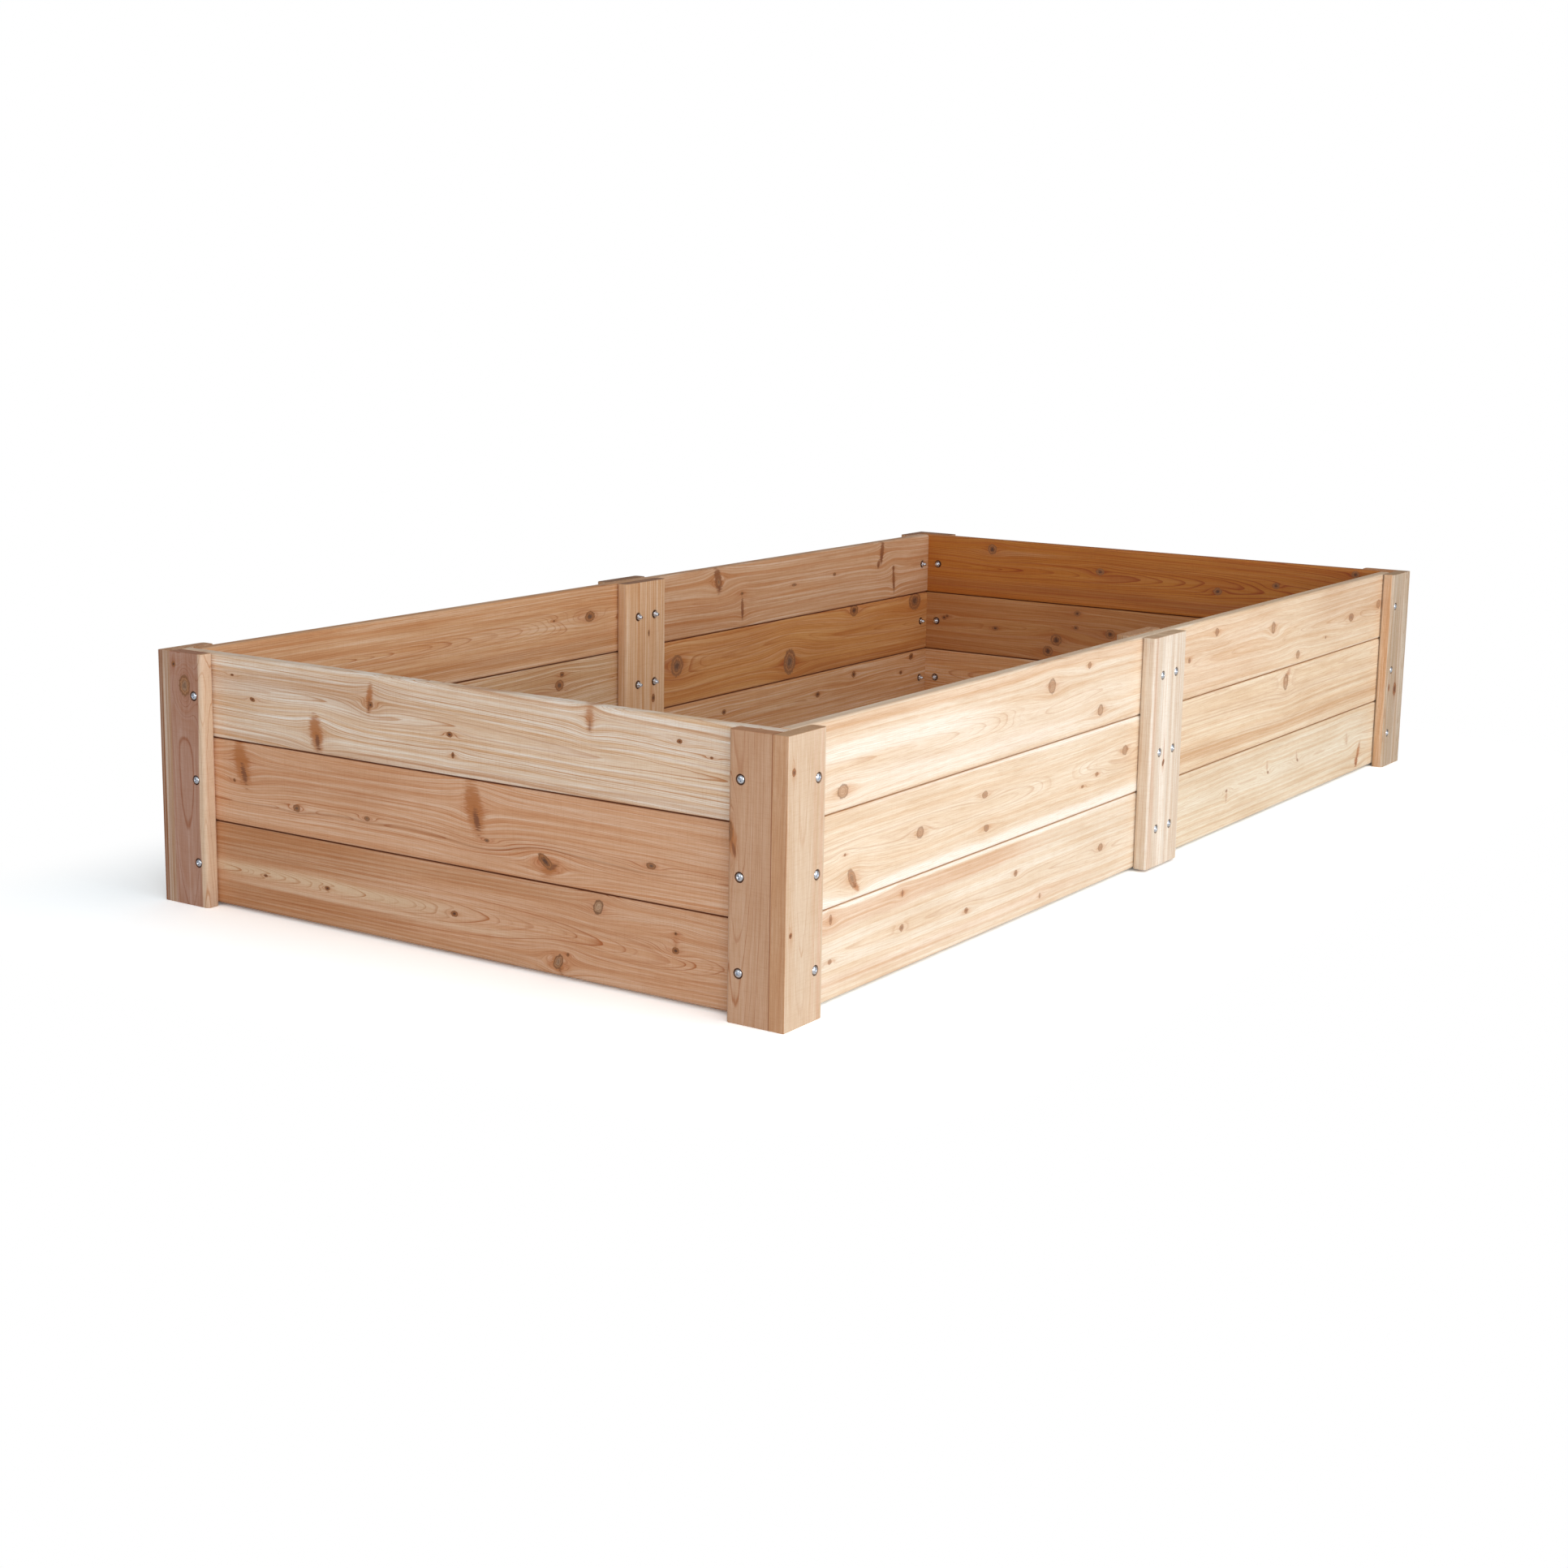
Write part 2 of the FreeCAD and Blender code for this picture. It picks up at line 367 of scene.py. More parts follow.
def makeKnotFigure(values):
    # masks from the distance to the nearest knot, which is 1 at its edge: core and heart fall outwards,
    # rim falls from the rim's place both ways, rings = (1 + sin(rate distance)) / 2
    outputs = ("Core", "Heart", "Rim", "Rings")
    tree, given, result = newGroup("knotFigure", ("Point",), ("Nearest",), outputs)
    wobble = calc(tree, "SUBTRACT", noise(tree, given["Point"], values["wobbleRate"], 3), 0.5)
    distance = calc(tree, "MULTIPLY_ADD", wobble, values["wobbleReach"], given["Nearest"])
    fromRim = calc(tree, "ABSOLUTE", calc(tree, "SUBTRACT", distance, values["rimPlace"]))
    wave = calc(tree, "SINE", calc(tree, "MULTIPLY", distance, values["ringRate"]))
    tree.links.new(smoothFall(tree, distance, *values["coreEdge"]), result["Core"])
    tree.links.new(smoothFall(tree, distance, *values["heartEdge"]), result["Heart"])
    tree.links.new(smoothFall(tree, fromRim, *values["rimEdge"]), result["Rim"])
    tree.links.new(calc(tree, "MULTIPLY_ADD", wave, 0.5, 0.5), result["Rings"])
    return tree


knotFlow = makeKnotFlow()
flame = makeFlame(flameValues)
woodBand = makeWoodBand(woodBandValues)
growthRings = makeGrowthRings(growthRingValues)
ringTone = makeRingTone(ringToneValues)
woodFibre = makeFibre(fibreValues)
knotFigure = makeKnotFigure(knotFigureValues)

# Colours are linear RGB; one that is multiplied tints the colour under it
cedarColours = {
    "sap": (0.98, 0.93, 0.85),
    "line": (0.66, 0.37, 0.17),
    "band": (0.87, 0.66, 0.44),
    "streak": (0.82, 0.62, 0.43),
    "cloud": (0.85, 0.74, 0.63),
    "fibre": (0.82, 0.68, 0.53),
    "glow": (0.72, 0.36, 0.13),
    "root": (0.20, 0.065, 0.025),
    "knotHeart": (0.12, 0.045, 0.02),
    "knotBody": (0.46, 0.18, 0.055),
    "knotRing": (0.60, 0.47, 0.37),
    "greyHeart": (0.60, 0.41, 0.27),
    "greyBody": (0.46, 0.26, 0.14),
    "rim": (0.20, 0.085, 0.035),
    # painted shade inside the bolt holes and on the floors of their recesses
    "bore": (0.22, 0.15, 0.11),
}

# Where each mask's smooth step begins and ends, strengths that all boards share, and sizes in mm
cedarValues = {
    "bandEdge": (0.36, 0.68),
    "streakEdge": (0.36, 0.7),
    "paleEdge": (0.55, 0.3),
    "cloudEdge": (0.35, 0.7),
    "cloud": 0.5,
    "fineEdge": (0.42, 0.74),
    "fine": 0.85,
    "sawEdge": (0.45, 0.75),
    "lineShade": (0.8, 0.2),  # a line's strength is its ring's shade times the first, plus the second
    "glowShade": (0.9, 0.2),
    "flameEdge": (0, 0.9),
    "rootEdge": (0.1, 1),
    "flame": 0.85,
    "knotRings": 0.75,
    "rimShade": (0.2, 0.6),
    "knotHalfDepth": 12,
    "noKnot": (0.01, 0.01, 1),  # half size of an eye or a flame among the knots, too small to show
    "farAway": 100.0,  # distance to the nearest knot before the first one, in half sizes
    # bend of the lines round it: times its reach along, plus, times its reach across, plus, depth
    "knotFlow": (2.4, 7, 1.2, 0.5, 30),
    "flameFlow": (1.6, 4, 0.6, 0, 30),
    "flameLift": 0.5,
    "eyeFlowDepth": 40,
    "bandFade": 130,
    "edgeColour": (0.5, 0.1),  # distances from the board's side between which its edge colour comes in
    "edgeWaver": 6,
    "edgeSplit": (1.5, 4.5),
    "endGrain": (0.45, 0.15),
    # distances from the board's side between which the painted shade of a joint's groove comes in
    "joint": (1.8, 0.6),
    "roughness": (0.16, 0.5),
    "bumpFine": 0.7,
    "bumpLine": 0.35,
    "bumpRim": -0.8,
    "bumpStrength": 0.35,
    "bumpDistance": 0.15 * millimetre,
}

# What a board has where its own look says nothing else, with places and sizes in mm from the board's centre.
# Pith: across and through the board, where its rings have their middle.
# Knot: along, across, half length, half width, tilt in degrees, tone from brown 0 to grey 1.
# Eye, a closed figure of growth lines: along, across, half length, half width, height.
# Flame, a stain across the grain: along, across, half length, half width, tilt, strength.
# Band: across, half width, soft edge, from, to, colour, strength. A sap band lies over the streaks, as does a
# band of painted highlight.
# Joints: whether the lower and the upper edge meet another board, where painted shade of the groove darkens
# them.
# Edge: the side of a post board with colours of its own, the depth where they change, and the two.
cedarDefaults = {
    "heart": (0.70, 0.45, 0.27),
    "pith": (0, -45),
    "taper": 0.035,
    "slope": 0.0,
    "wander": 6,
    "spacing": 2.2,
    "lines": 0.9,
    "lineStart": 0.45,
    "ringBands": 0.6,
    "streaks": 0.5,
    "pale": 0.35,
    "sawMarks": 0.3,
    "lift": 3.5,
    "glow": 0.85,
    "knots": [],
    "knotStrength": 1.0,
    "eyes": [],
    "flames": [],
    "flameColour": (0.46, 0.16, 0.04),
    "bands": [],
    "sapAndHighlightBands": [],
    "joints": (0, 0),
    # painted shade of the groove where two boards meet
    "jointShade": (0.30, 0.15, 0.08),
    "endGrainAndShade": (0.88, 0.70, 0.52),
    "edge": (0, 0, (1, 1, 1), (1, 1, 1)),
}


def flowSize(halfLength, halfWidth, angle, factors):
    # from the half size of the box round the tilted ellipse: sqrt((a cos t)^2 + (b sin t)^2) and its fellow
    along = math.hypot(halfLength * math.cos(angle), halfWidth * math.sin(angle))
    across = math.hypot(halfLength * math.sin(angle), halfWidth * math.cos(angle))
    timesAlong, plusAlong, timesAcross, plusAcross, depth = factors
    return along * timesAlong + plusAlong, across * timesAcross + plusAcross, depth


def bendRound(tree, point, chain, centre, inputs):
    # one more link of the chain: a knot, an eye or a flame that the growth lines bend round
    place = {"Point": point, "Centre": (*centre, 0), "Half Size": cedarValues["noKnot"]}
    return dict(useGroup(tree, knotFlow, {**place, **inputs, **chain}).items())


def addKnots(tree, point, look, values):
    # the chain of knots, eyes and the bends round flames; returns the last one's outputs
    chain = {"Shift": 0.0, "Lift": 0.0, "Glow": 0.0, "Nearest": values["farAway"], "Nearest Tone": 0.0}
    for along, across, halfLength, halfWidth, tilt, tone in look["knots"]:
        angle = math.radians(tilt)
        chain = bendRound(tree, point, chain, (along, across), {
            "Half Size": (halfLength, halfWidth, values["knotHalfDepth"]), "Tilt": angle, "Tone": tone,
            "Flow Size": flowSize(halfLength, halfWidth, angle, values["knotFlow"]), "Height": look["lift"],
        })
    for along, across, halfLength, halfWidth, height in look["eyes"]:
        size = (halfLength, halfWidth, values["eyeFlowDepth"])
        eye = bendRound(tree, point, chain, (along, across), {"Flow Size": size, "Height": height})
        chain = {**chain, "Lift": eye["Lift"]}
    for along, across, halfLength, halfWidth, tilt, _ in look["flames"]:
        size = flowSize(halfLength, halfWidth, math.radians(tilt), values["flameFlow"])
        height = look["lift"] * values["flameLift"]
        bent = bendRound(tree, point, chain, (along, across), {"Flow Size": size, "Height": height})
        chain = {**chain, "Shift": bent["Shift"], "Lift": bent["Lift"], "Glow": bent["Glow"]}
    return chain


def addBands(tree, point, bands, seed, colour):
    for across, halfWidth, soft, start, end, tone, strength in bands:
        bandInputs = {
            "Point": point, "Across": across, "Half Width": halfWidth, "Soft": soft, "From": start, "To": end,
            "Fade": cedarValues["bandFade"], "Seed": seed,
        }
        mask = useGroup(tree, woodBand, bandInputs)["Mask"]
        colour = layColour(tree, colour, mask, strength, tone, "MIX")
    return colour


def addEdgeColours(tree, parts, fibre, look, half, colour, values):
    # a post board's side in its two colours, which change at a wavering depth
    side, split, lowColour, highColour = look["edge"]
    if not side:
        return colour
    outwards = calc(tree, "MULTIPLY", parts["Y"], side)
    edge = smoothStep(tree, outwards, *[half[1] - inset for inset in values["edgeColour"]])
    waver = calc(tree, "MULTIPLY_ADD", fibre["Streak"], values["edgeWaver"], parts["Z"])
    higher = smoothStep(tree, waver, *[split + depth for depth in values["edgeSplit"]])
    return mixColour(tree, edge, colour, mixColour(tree, higher, opaque(lowColour), opaque(highColour)))


def addFlames(tree, point, look, colour, values):
    stain = {"Mask": 0.0, "Root": 0.0}
    for along, across, halfLength, halfWidth, tilt, strength in look["flames"]:
        flameInputs = {
            "Point": point, "Centre": (along, across, 0), "Tilt": math.radians(tilt), "Strength": strength,
            "Half Size": (halfLength, halfWidth, values["knotHalfDepth"]), **stain,
        }
        stain = dict(useGroup(tree, flame, flameInputs).items())
    if look["flames"]:
        stained = smoothStep(tree, stain["Mask"], *values["flameEdge"])
        colour = layColour(tree, colour, stained, values["flame"], look["flameColour"], "MIX")
        root = smoothStep(tree, stain["Root"], *values["rootEdge"])
        colour = layColour(tree, colour, root, values["flame"], cedarColours["root"], "MIX")
    return colour


def addKnotColours(tree, tone, figure, strength, colour, values):
    # brown to grey by tone: heart in the body, then rings, then the dark rim
    heart = mixColour(tree, tone, opaque(cedarColours["knotHeart"]), opaque(cedarColours["greyHeart"]))
    body = mixColour(tree, tone, opaque(cedarColours["knotBody"]), opaque(cedarColours["greyBody"]))
    knot = mixColour(tree, figure["Heart"], body, heart)
    knot = layColour(tree, knot, figure["Rings"], values["knotRings"], cedarColours["knotRing"])
    rimStrength = calc(tree, "MULTIPLY_ADD", tone, *values["rimShade"])
    knot = layColour(tree, knot, figure["Rim"], rimStrength, cedarColours["rim"], "MIX")
    return mixColour(tree, calc(tree, "MULTIPLY", figure["Core"], strength), colour, knot)


def makeCedar(name, seed, ownLook, half, values):
    look = {**cedarDefaults, **ownLook}
    material = bpy.data.materials.new(name)
    material.use_nodes = True
    tree = material.node_tree
    shader = tree.nodes["Principled BSDF"]
    point = addNode(tree, "ShaderNodeAttribute", attribute_name="grain").outputs["Vector"]
    parts = splitVector(tree, point)
    chain = addKnots(tree, point, look, values)
    flowed = calcVector(tree, "ADD", point, joinVector(tree, Y=chain["Shift"]))
    ringInputs = {
        "Point": flowed, "Pith": (0, *look["pith"]), "Taper": look["taper"], "Slope": look["slope"],
        "Wander": look["wander"], "Lift": chain["Lift"], "Seed": seed,
    }
    rings = useGroup(tree, growthRings, ringInputs)["Rings"]
    toneInputs = {"Rings": rings, "Spacing": look["spacing"], "Start": look["lineStart"], "Seed": seed}
    ring = useGroup(tree, ringTone, toneInputs)
    fibre = useGroup(tree, woodFibre, {"Point": flowed, "Seed": seed})
    figure = useGroup(tree, knotFigure, {"Point": point, "Nearest": chain["Nearest"]})

    def layWood(colour, source, edge, strength, tint, blend="MULTIPLY"):
        mask = smoothStep(tree, source, *values[edge])
        return layColour(tree, colour, mask, strength, cedarColours[tint], blend)

    colour = addBands(tree, flowed, look["bands"], seed, opaque(look["heart"]))
    colour = addEdgeColours(tree, parts, fibre, look, half, colour, values)
    colour = layWood(colour, ring["Band"], "bandEdge", look["ringBands"], "band")
    colour = layWood(colour, fibre["Streak"], "streakEdge", look["streaks"], "streak")
    colour = layWood(colour, fibre["Streak"], "paleEdge", look["pale"], "sap", "MIX")
    colour = layWood(colour, fibre["Cloud"], "cloudEdge", values["cloud"], "cloud")
    # sap bands, and bands of painted highlight such as the light line along a corner seam
    colour = addBands(tree, flowed, look["sapAndHighlightBands"], seed, colour)
    shade = calc(tree, "MULTIPLY_ADD", ring["Shade"], *values["lineShade"])
    late = calc(tree, "MULTIPLY", ring["Late"], shade)
    colour = layColour(tree, colour, late, look["lines"], cedarColours["line"])
    colour = layWood(colour, fibre["Fine"], "fineEdge", values["fine"], "fibre")
    colour = layWood(colour, fibre["Saw"], "sawEdge", look["sawMarks"], "fibre")
    shade = calc(tree, "MULTIPLY_ADD", fibre["Streak"], *values["glowShade"])
    glow = calc(tree, "MULTIPLY", chain["Glow"], shade)
    colour = layColour(tree, colour, glow, look["glow"], cedarColours["glow"])
    colour = addFlames(tree, point, look, colour, values)
    colour = addKnotColours(tree, chain["Nearest Tone"], figure, look["knotStrength"], colour, values)

    # end grain colour at the board's ends, which for the boards with shadedTop holds painted shade too
    beyond = calc(tree, "ABSOLUTE", parts["X"])
    endGrain = smoothStep(tree, beyond, *[half[0] - inset for inset in values["endGrain"]])
    colour = mixColour(tree, endGrain, colour, opaque(look["endGrainAndShade"]), "MULTIPLY")
    # painted shade: a board's edge is darkened where it meets another board, as the groove between them lies
    # in shadow
    for sign, meets in zip((-1, 1), look["joints"]):
        if meets:
            outwards = calc(tree, "MULTIPLY", parts["Y"], sign)
            joint = smoothStep(tree, outwards, *[half[1] - inset for inset in values["joint"]])
            colour = mixColour(tree, joint, colour, opaque(look["jointShade"]), "MULTIPLY")
    # painted shade inside the bolt holes and on their recess floors, from the bore attribute
    bore = addNode(tree, "ShaderNodeAttribute", attribute_name="bore").outputs["Fac"]
    colour = mixColour(tree, bore, colour, opaque(cedarColours["bore"]), "MULTIPLY")
    tree.links.new(colour, shader.inputs["Base Color"])

    rough = calc(tree, "MULTIPLY_ADD", fibre["Fine"], *values["roughness"])
    tree.links.new(rough, shader.inputs["Roughness"])
    height = calc(tree, "MULTIPLY", fibre["Fine"], values["bumpFine"])
    height = calc(tree, "MULTIPLY_ADD", ring["Late"], values["bumpLine"], height)
    height = calc(tree, "MULTIPLY_ADD", figure["Rim"], values["bumpRim"], height)
    bumpInputs = {"Height": height, "Strength": values["bumpStrength"], "Distance": values["bumpDistance"]}
    tree.links.new(addNode(tree, "ShaderNodeBump", bumpInputs).outputs["Normal"], shader.inputs["Normal"])
    return material


# Meshes of boards, turned solids and grids

boardValues = {
    "edgeRadius": 6 * millimetre,
    "sharpEase": 0.5 * millimetre,
    "arcSteps": 9,
    "flatMargin": 0.5 * millimetre,
    "endEase": 0.5 * millimetre,
    "smoothAngle": 35,
}


def ringFaces(rows, steps, first=0):
    # quads (i, j), (i, j + 1), (i + 1, j + 1), (i + 1, j) of a grid closed round in j
    i, j = np.meshgrid(np.arange(rows - 1), np.arange(steps), indexing="ij")
    following = (j + 1) % steps
    corners = [i * steps + j, i * steps + following, (i + 1) * steps + following, (i + 1) * steps + j]
    return (np.stack(corners, axis=-1).reshape(-1, 4) + first).tolist()


def gridMesh(name, points):
    # points has the shape (rows, steps, 3); the first and the last row are closed flat
    rows, steps = points.shape[:2]
    faces = ringFaces(rows, steps)
    faces.append(list(range(steps - 1, -1, -1)))
    faces.append(list(range((rows - 1) * steps, rows * steps)))
    mesh = bpy.data.meshes.new(name)
    mesh.from_pydata(points.reshape(-1, 3).tolist(), [], faces)
    return mesh


def turnedMesh(name, profile, steps):
    # (r cos a, r sin a, z) for each (r, z) of a profile whose two ends lie on the axis
    radius, z = np.array(profile[1:-1]).T[:, :, None]
    angle = np.linspace(0, 2 * math.pi, steps, endpoint=False)
    rings = np.stack([radius * np.cos(angle), radius * np.sin(angle), z + 0 * angle], axis=-1)
    poles = np.array([(0, 0, profile[0][1]), (0, 0, profile[-1][1])])
    points = np.vstack([poles[:1], rings.reshape(-1, 3), poles[1:]])
    j = np.arange(steps)
    following = (j + 1) % steps
    lastRing = 1 + (len(rings) - 1) * steps
    faces = np.stack([0 * j, 1 + following, 1 + j], axis=-1).tolist()
    faces += ringFaces(len(rings), steps, 1)
    faces += np.stack([lastRing + j, lastRing + following, 0 * j + len(points) - 1], axis=-1).tolist()
    mesh = bpy.data.meshes.new(name)
    mesh.from_pydata(points.tolist(), [], faces)
    return mesh


def roundedOutline(low, high, radii, values):
    # arc points centre + r (cos t, sin t) at each corner, with a point on the flats just past each arc
    steps = np.linspace(0, math.pi / 2, values["arcSteps"] + 1)
    corners = ((low[0], low[1]), (high[0], low[1]), (high[0], high[1]), (low[0], high[1]))
    inward = ((1, 1), (-1, 1), (-1, -1), (1, -1))
    points = []
    for i, corner in enumerate(corners):
        radius = radii[i] or values["sharpEase"]
        angles = math.pi + i * math.pi / 2 + steps
        centre = np.array(corner) + radius * np.array(inward[i])
        arc = centre + radius * np.stack([np.cos(angles), np.sin(angles)], axis=1)
        tangents = np.stack([-np.sin(angles), np.cos(angles)], axis=1) * values["flatMargin"]
        points.append(np.vstack([arc[0] - tangents[0], arc, arc[-1] + tangents[-1]]))
    return np.vstack(points)


def sweptBoard(low, high, axes, radii, values):
    # (place along, outline across and through) at six stations, with the outline drawn in at the two ends
    along, across, depth = axes
    outline = roundedOutline((low[across], low[depth]), (high[across], high[depth]), radii, values)
    centre = outline.mean(axis=0)
    half = np.array([high[across] - low[across], high[depth] - low[depth]]) / 2
    ease, margin = values["endEase"], values["flatMargin"]
    drawnIn = centre + (outline - centre) * (1 - ease / half)
    start, end = low[along], high[along]
    places = np.array([start, start + ease, start + ease + margin, end - ease - margin, end - ease, end])
    sections = np.stack([drawnIn, outline, outline, outline, outline, drawnIn])
    points = np.zeros((len(places), len(outline), 3))
    points[:, :, along] = places[:, None]
    points[:, :, across] = sections[:, :, 0]
    points[:, :, depth] = sections[:, :, 1]
    return gridMesh("board", points)


def joinedMesh(name, pieces):
    # one mesh of the given (mesh, matrix) pairs
    joined = bmesh.new()
    for mesh, matrix in pieces:
        copy = mesh.copy()
        copy.transform(matrix)
        joined.from_mesh(copy)
        bpy.data.meshes.remove(copy)
    bmesh.ops.recalc_face_normals(joined, faces=joined.faces)
    result = bpy.data.meshes.new(name)
    joined.to_mesh(result)
    joined.free()
    return result


def solidMesh(mesh):
    # the same mesh with its faces turned outwards
    return joinedMesh(mesh.name, [(mesh, Matrix.Identity(4))])


def cutMesh(mesh, cutter):
    # mesh with the cutter's solid taken away
    scene = bpy.context.scene.collection
    body = bpy.data.objects.new("cutBody", mesh)
    tool = bpy.data.objects.new("cutTool", cutter)
    scene.objects.link(body)
    scene.objects.link(tool)
    modifier = body.modifiers.new("cut", "BOOLEAN")
    modifier.object = tool
    modifier.operation = "DIFFERENCE"
    modifier.solver = "EXACT"
    evaluated = body.evaluated_get(bpy.context.evaluated_depsgraph_get())
    result = bpy.data.meshes.new_from_object(evaluated)
    bpy.data.objects.remove(body)
    bpy.data.objects.remove(tool)
    return result


def finishPiece(name, mesh, node, material):
    mesh.materials.append(material)
    mesh.shade_smooth()
    mesh.set_sharp_from_angle(angle=math.radians(boardValues["smoothAngle"]))
    piece = bpy.data.objects.new(name, mesh)
    bpy.context.scene.collection.objects.link(piece)
    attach(piece, "root")
    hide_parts(node)
    return piece


# Bolts, nuts and their holes are drawn along Z in mm: the wood's outer face is z = 0 and the wood is above it

fastenerValues = {
    "boltRadius": 3.175,
    "holeRadius": 3.55,
    "recessRadius": 8.0,
    "recessDepth": 3.4,
    "recessEase": 0.35,
    "nutSeatRadius": 8.75,
    "nutSeatDepth": 3.0,
    "holeSteps": 40,
    "holeOvershoot": 1.0,
    "holeReach": 3.1,  # board thicknesses within which a hole's outer end lies from a board that it passes
    # the painted shade of a hole keeps this far from the board's faces and reaches this far past the nut seat
    "holeShadeInset": 1.0,
    "holeShadeMargin": 0.1,
    "postBoltEdgeDistance": 20.0,
    "braceBoltSpacing": 55.0,
}


def holeProfile(stack, values):
    # recess, bolt hole and counterbore in one turned solid, which runs out of both faces
    ease, out = values["recessEase"], values["holeOvershoot"]
    recess, seat, hole = values["recessRadius"], values["nutSeatRadius"], values["holeRadius"]
    seatZ = stack - values["nutSeatDepth"]
    return [
        (0, -out), (recess + ease + out, -out), (recess, ease), (recess, values["recessDepth"]),
        (hole, values["recessDepth"]), (hole, seatZ), (seat, seatZ), (seat, stack - ease),
        (seat + ease + out, stack + out), (0, stack + out),
    ]


def heightOfCourse(name):
    low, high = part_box("left_end_board_" + name)
    return (low.z + high.z) / 2


courseHeights = [heightOfCourse(name) for name in ("bottom", "middle", "top")]
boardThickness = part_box("front_outer_brace")[1].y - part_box("front_outer_brace")[0].y
postStack = 2 * boardThickness / millimetre
braceStack = 3 * boardThickness / millimetre


def stackOf(group):
    return braceStack if group.endswith("brace") else postStack


def inwardMatrix(place, axis, sign):
    # turns +Z to the inward direction, axis 0 or 1 times sign, and mm to metres
    inward = Vector((sign if axis == 0 else 0, sign if axis == 1 else 0, 0))
    turn = inward.to_track_quat("Z", "Y").to_matrix().to_4x4()
    return Matrix.Translation(place) @ turn @ Matrix.Scale(millimetre, 4)


def boltPlaces(values):
    # a list of matrices for each of the four posts and the two pairs of braces
    places = {}
    edge = values["postBoltEdgeDistance"] * millimetre
    half = values["braceBoltSpacing"] * millimetre / 2
    for side, sideSign in (("front", -1), ("back", 1)):
        for end, endSign in (("left", -1), ("right", 1)):
            low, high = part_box(f"{side}_{end}_corner_side_board")
            freeX = high.x if endSign < 0 else low.x
            outerY = low.y if sideSign < 0 else high.y
            onSide = [(freeX + endSign * edge, outerY, z) for z in courseHeights]
            low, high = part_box(f"{side}_{end}_corner_end_board")
            freeY = high.y if sideSign < 0 else low.y
            outerX = low.x if endSign < 0 else high.x
            onEnd = [(outerX, freeY + sideSign * edge, z) for z in courseHeights]
            matrices = [inwardMatrix(place, 0, -endSign) for place in onEnd]
            matrices += [inwardMatrix(place, 1, -sideSign) for place in onSide]
            places[f"{side}_{end}_corner"] = matrices
        low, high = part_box(f"{side}_outer_brace")
        outerY = low.y if sideSign < 0 else high.y
        columns = [(x, outerY, z) for x in (-half, half) for z in courseHeights]
        places[f"{side}_brace"] = [inwardMatrix(place, 1, -sideSign) for place in columns]
    return places


fastenerPlaces = boltPlaces(fastenerValues)
print("bolt places found")


def holeTools(values):
    # (mesh, matrix) of every bolt hole in the bed
    pieces = []
    for group, matrices in fastenerPlaces.items():
        tool = turnedMesh("hole", holeProfile(stackOf(group), values), values["holeSteps"])
        pieces += [(tool, matrix) for matrix in matrices]
    return pieces


allHoles = holeTools(fastenerValues)


def holesNear(low, high):
    # the hole tools whose axis passes through this box: a bolt spans three boards at most
    reach = fastenerValues["holeReach"] * boardThickness
    found = []
    for tool, matrix in allHoles:
        place = matrix.translation
        inside = all(low[i] - reach < place[i] < high[i] + reach for i in range(2))
        direction = matrix.to_3x3() @ Vector((0, 0, 1))
        side = 1 if abs(direction.x) > abs(direction.y) else 0
        crossing = low[side] < place[side] < high[side] and low.z < place.z < high.z
        if inside and crossing:
            found.append((tool, matrix))
    return found


def holeShadeMask(points, grain, halfDepth, matrices, values):
    # painted shade: 1 within a hole's radius and away from the board's two faces, as on a recess's floor, and
    # 0 elsewhere
    mask = np.zeros(len(points))
    inside = np.abs(grain[:, 2]) < halfDepth - values["holeShadeInset"]
    for matrix in matrices:
        inverse = np.array(matrix.inverted())
        local = points @ inverse[:3, :3].T + inverse[:3, 3]
        distance = np.hypot(local[:, 0], local[:, 1])
        mask[inside & (distance < values["nutSeatRadius"] + values["holeShadeMargin"])] = 1
    return mask


def addAttribute(mesh, name, kind, field, array):
    attribute = mesh.attributes.new(name, kind, "POINT")
    attribute.data.foreach_set(field, array.astype(np.float32).ravel())


def makeBoard(node, look, seed, sharpCorners=()):
    low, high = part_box(node)
    size = high - low
    along = max(range(3), key=lambda i: size[i])
    depth = min(range(3), key=lambda i: size[i])
    across = 3 - along - depth
    radii = [0 if i in sharpCorners else boardValues["edgeRadius"] for i in range(4)]
    mesh = sweptBoard(low, high, (along, across, depth), radii, boardValues)
    holes = holesNear(low, high)
    if holes:
        mesh = cutMesh(solidMesh(mesh), joinedMesh("holes", holes))
    points = np.zeros(len(mesh.vertices) * 3, np.float32)
    mesh.vertices.foreach_get("co", points)
    points = points.reshape(-1, 3)
    middle = np.array((low + high) / 2)
    grain = (points - middle)[:, [along, across, depth]] / millimetre
    half = [size[i] / 2 / millimetre for i in (along, across, depth)]
    # painted shade of the holes, kept as the bore attribute
    bore = holeShadeMask(points, grain, half[2], [matrix for tool, matrix in holes], fastenerValues)
    addAttribute(mesh, "grain", "FLOAT_VECTOR", "vector", grain)
    addAttribute(mesh, "bore", "FLOAT", "value", bore)
    material = makeCedar("cedar_" + node, seed, look, half, cedarValues)
    finishPiece("cedar_" + node, mesh, node, material)


# Each board's own look. A wall board's places run along +X or +Y, across upwards;
# an upright's run along +Z, across along +X or +Y. A board's place in its table gives its noise seed.

wholeBoard = (-620, 620)  # from and to of a band that runs from end to end
wholeUpright = (-250, 250)
frontBoard = {
    "lines": 0.42, "ringBands": 0.4, "streaks": 0.25, "pale": 0.2, "sawMarks": 0.15, "knotStrength": 0.66,
    # lighter painted shade in the joints of the front wall
    "jointShade": (0.62, 0.42, 0.28),
}
# painted shade: the top ends of the far posts and braces are darkened as they lie in the shade
shadedTop = {"endGrainAndShade": (0.50, 0.38, 0.30)}

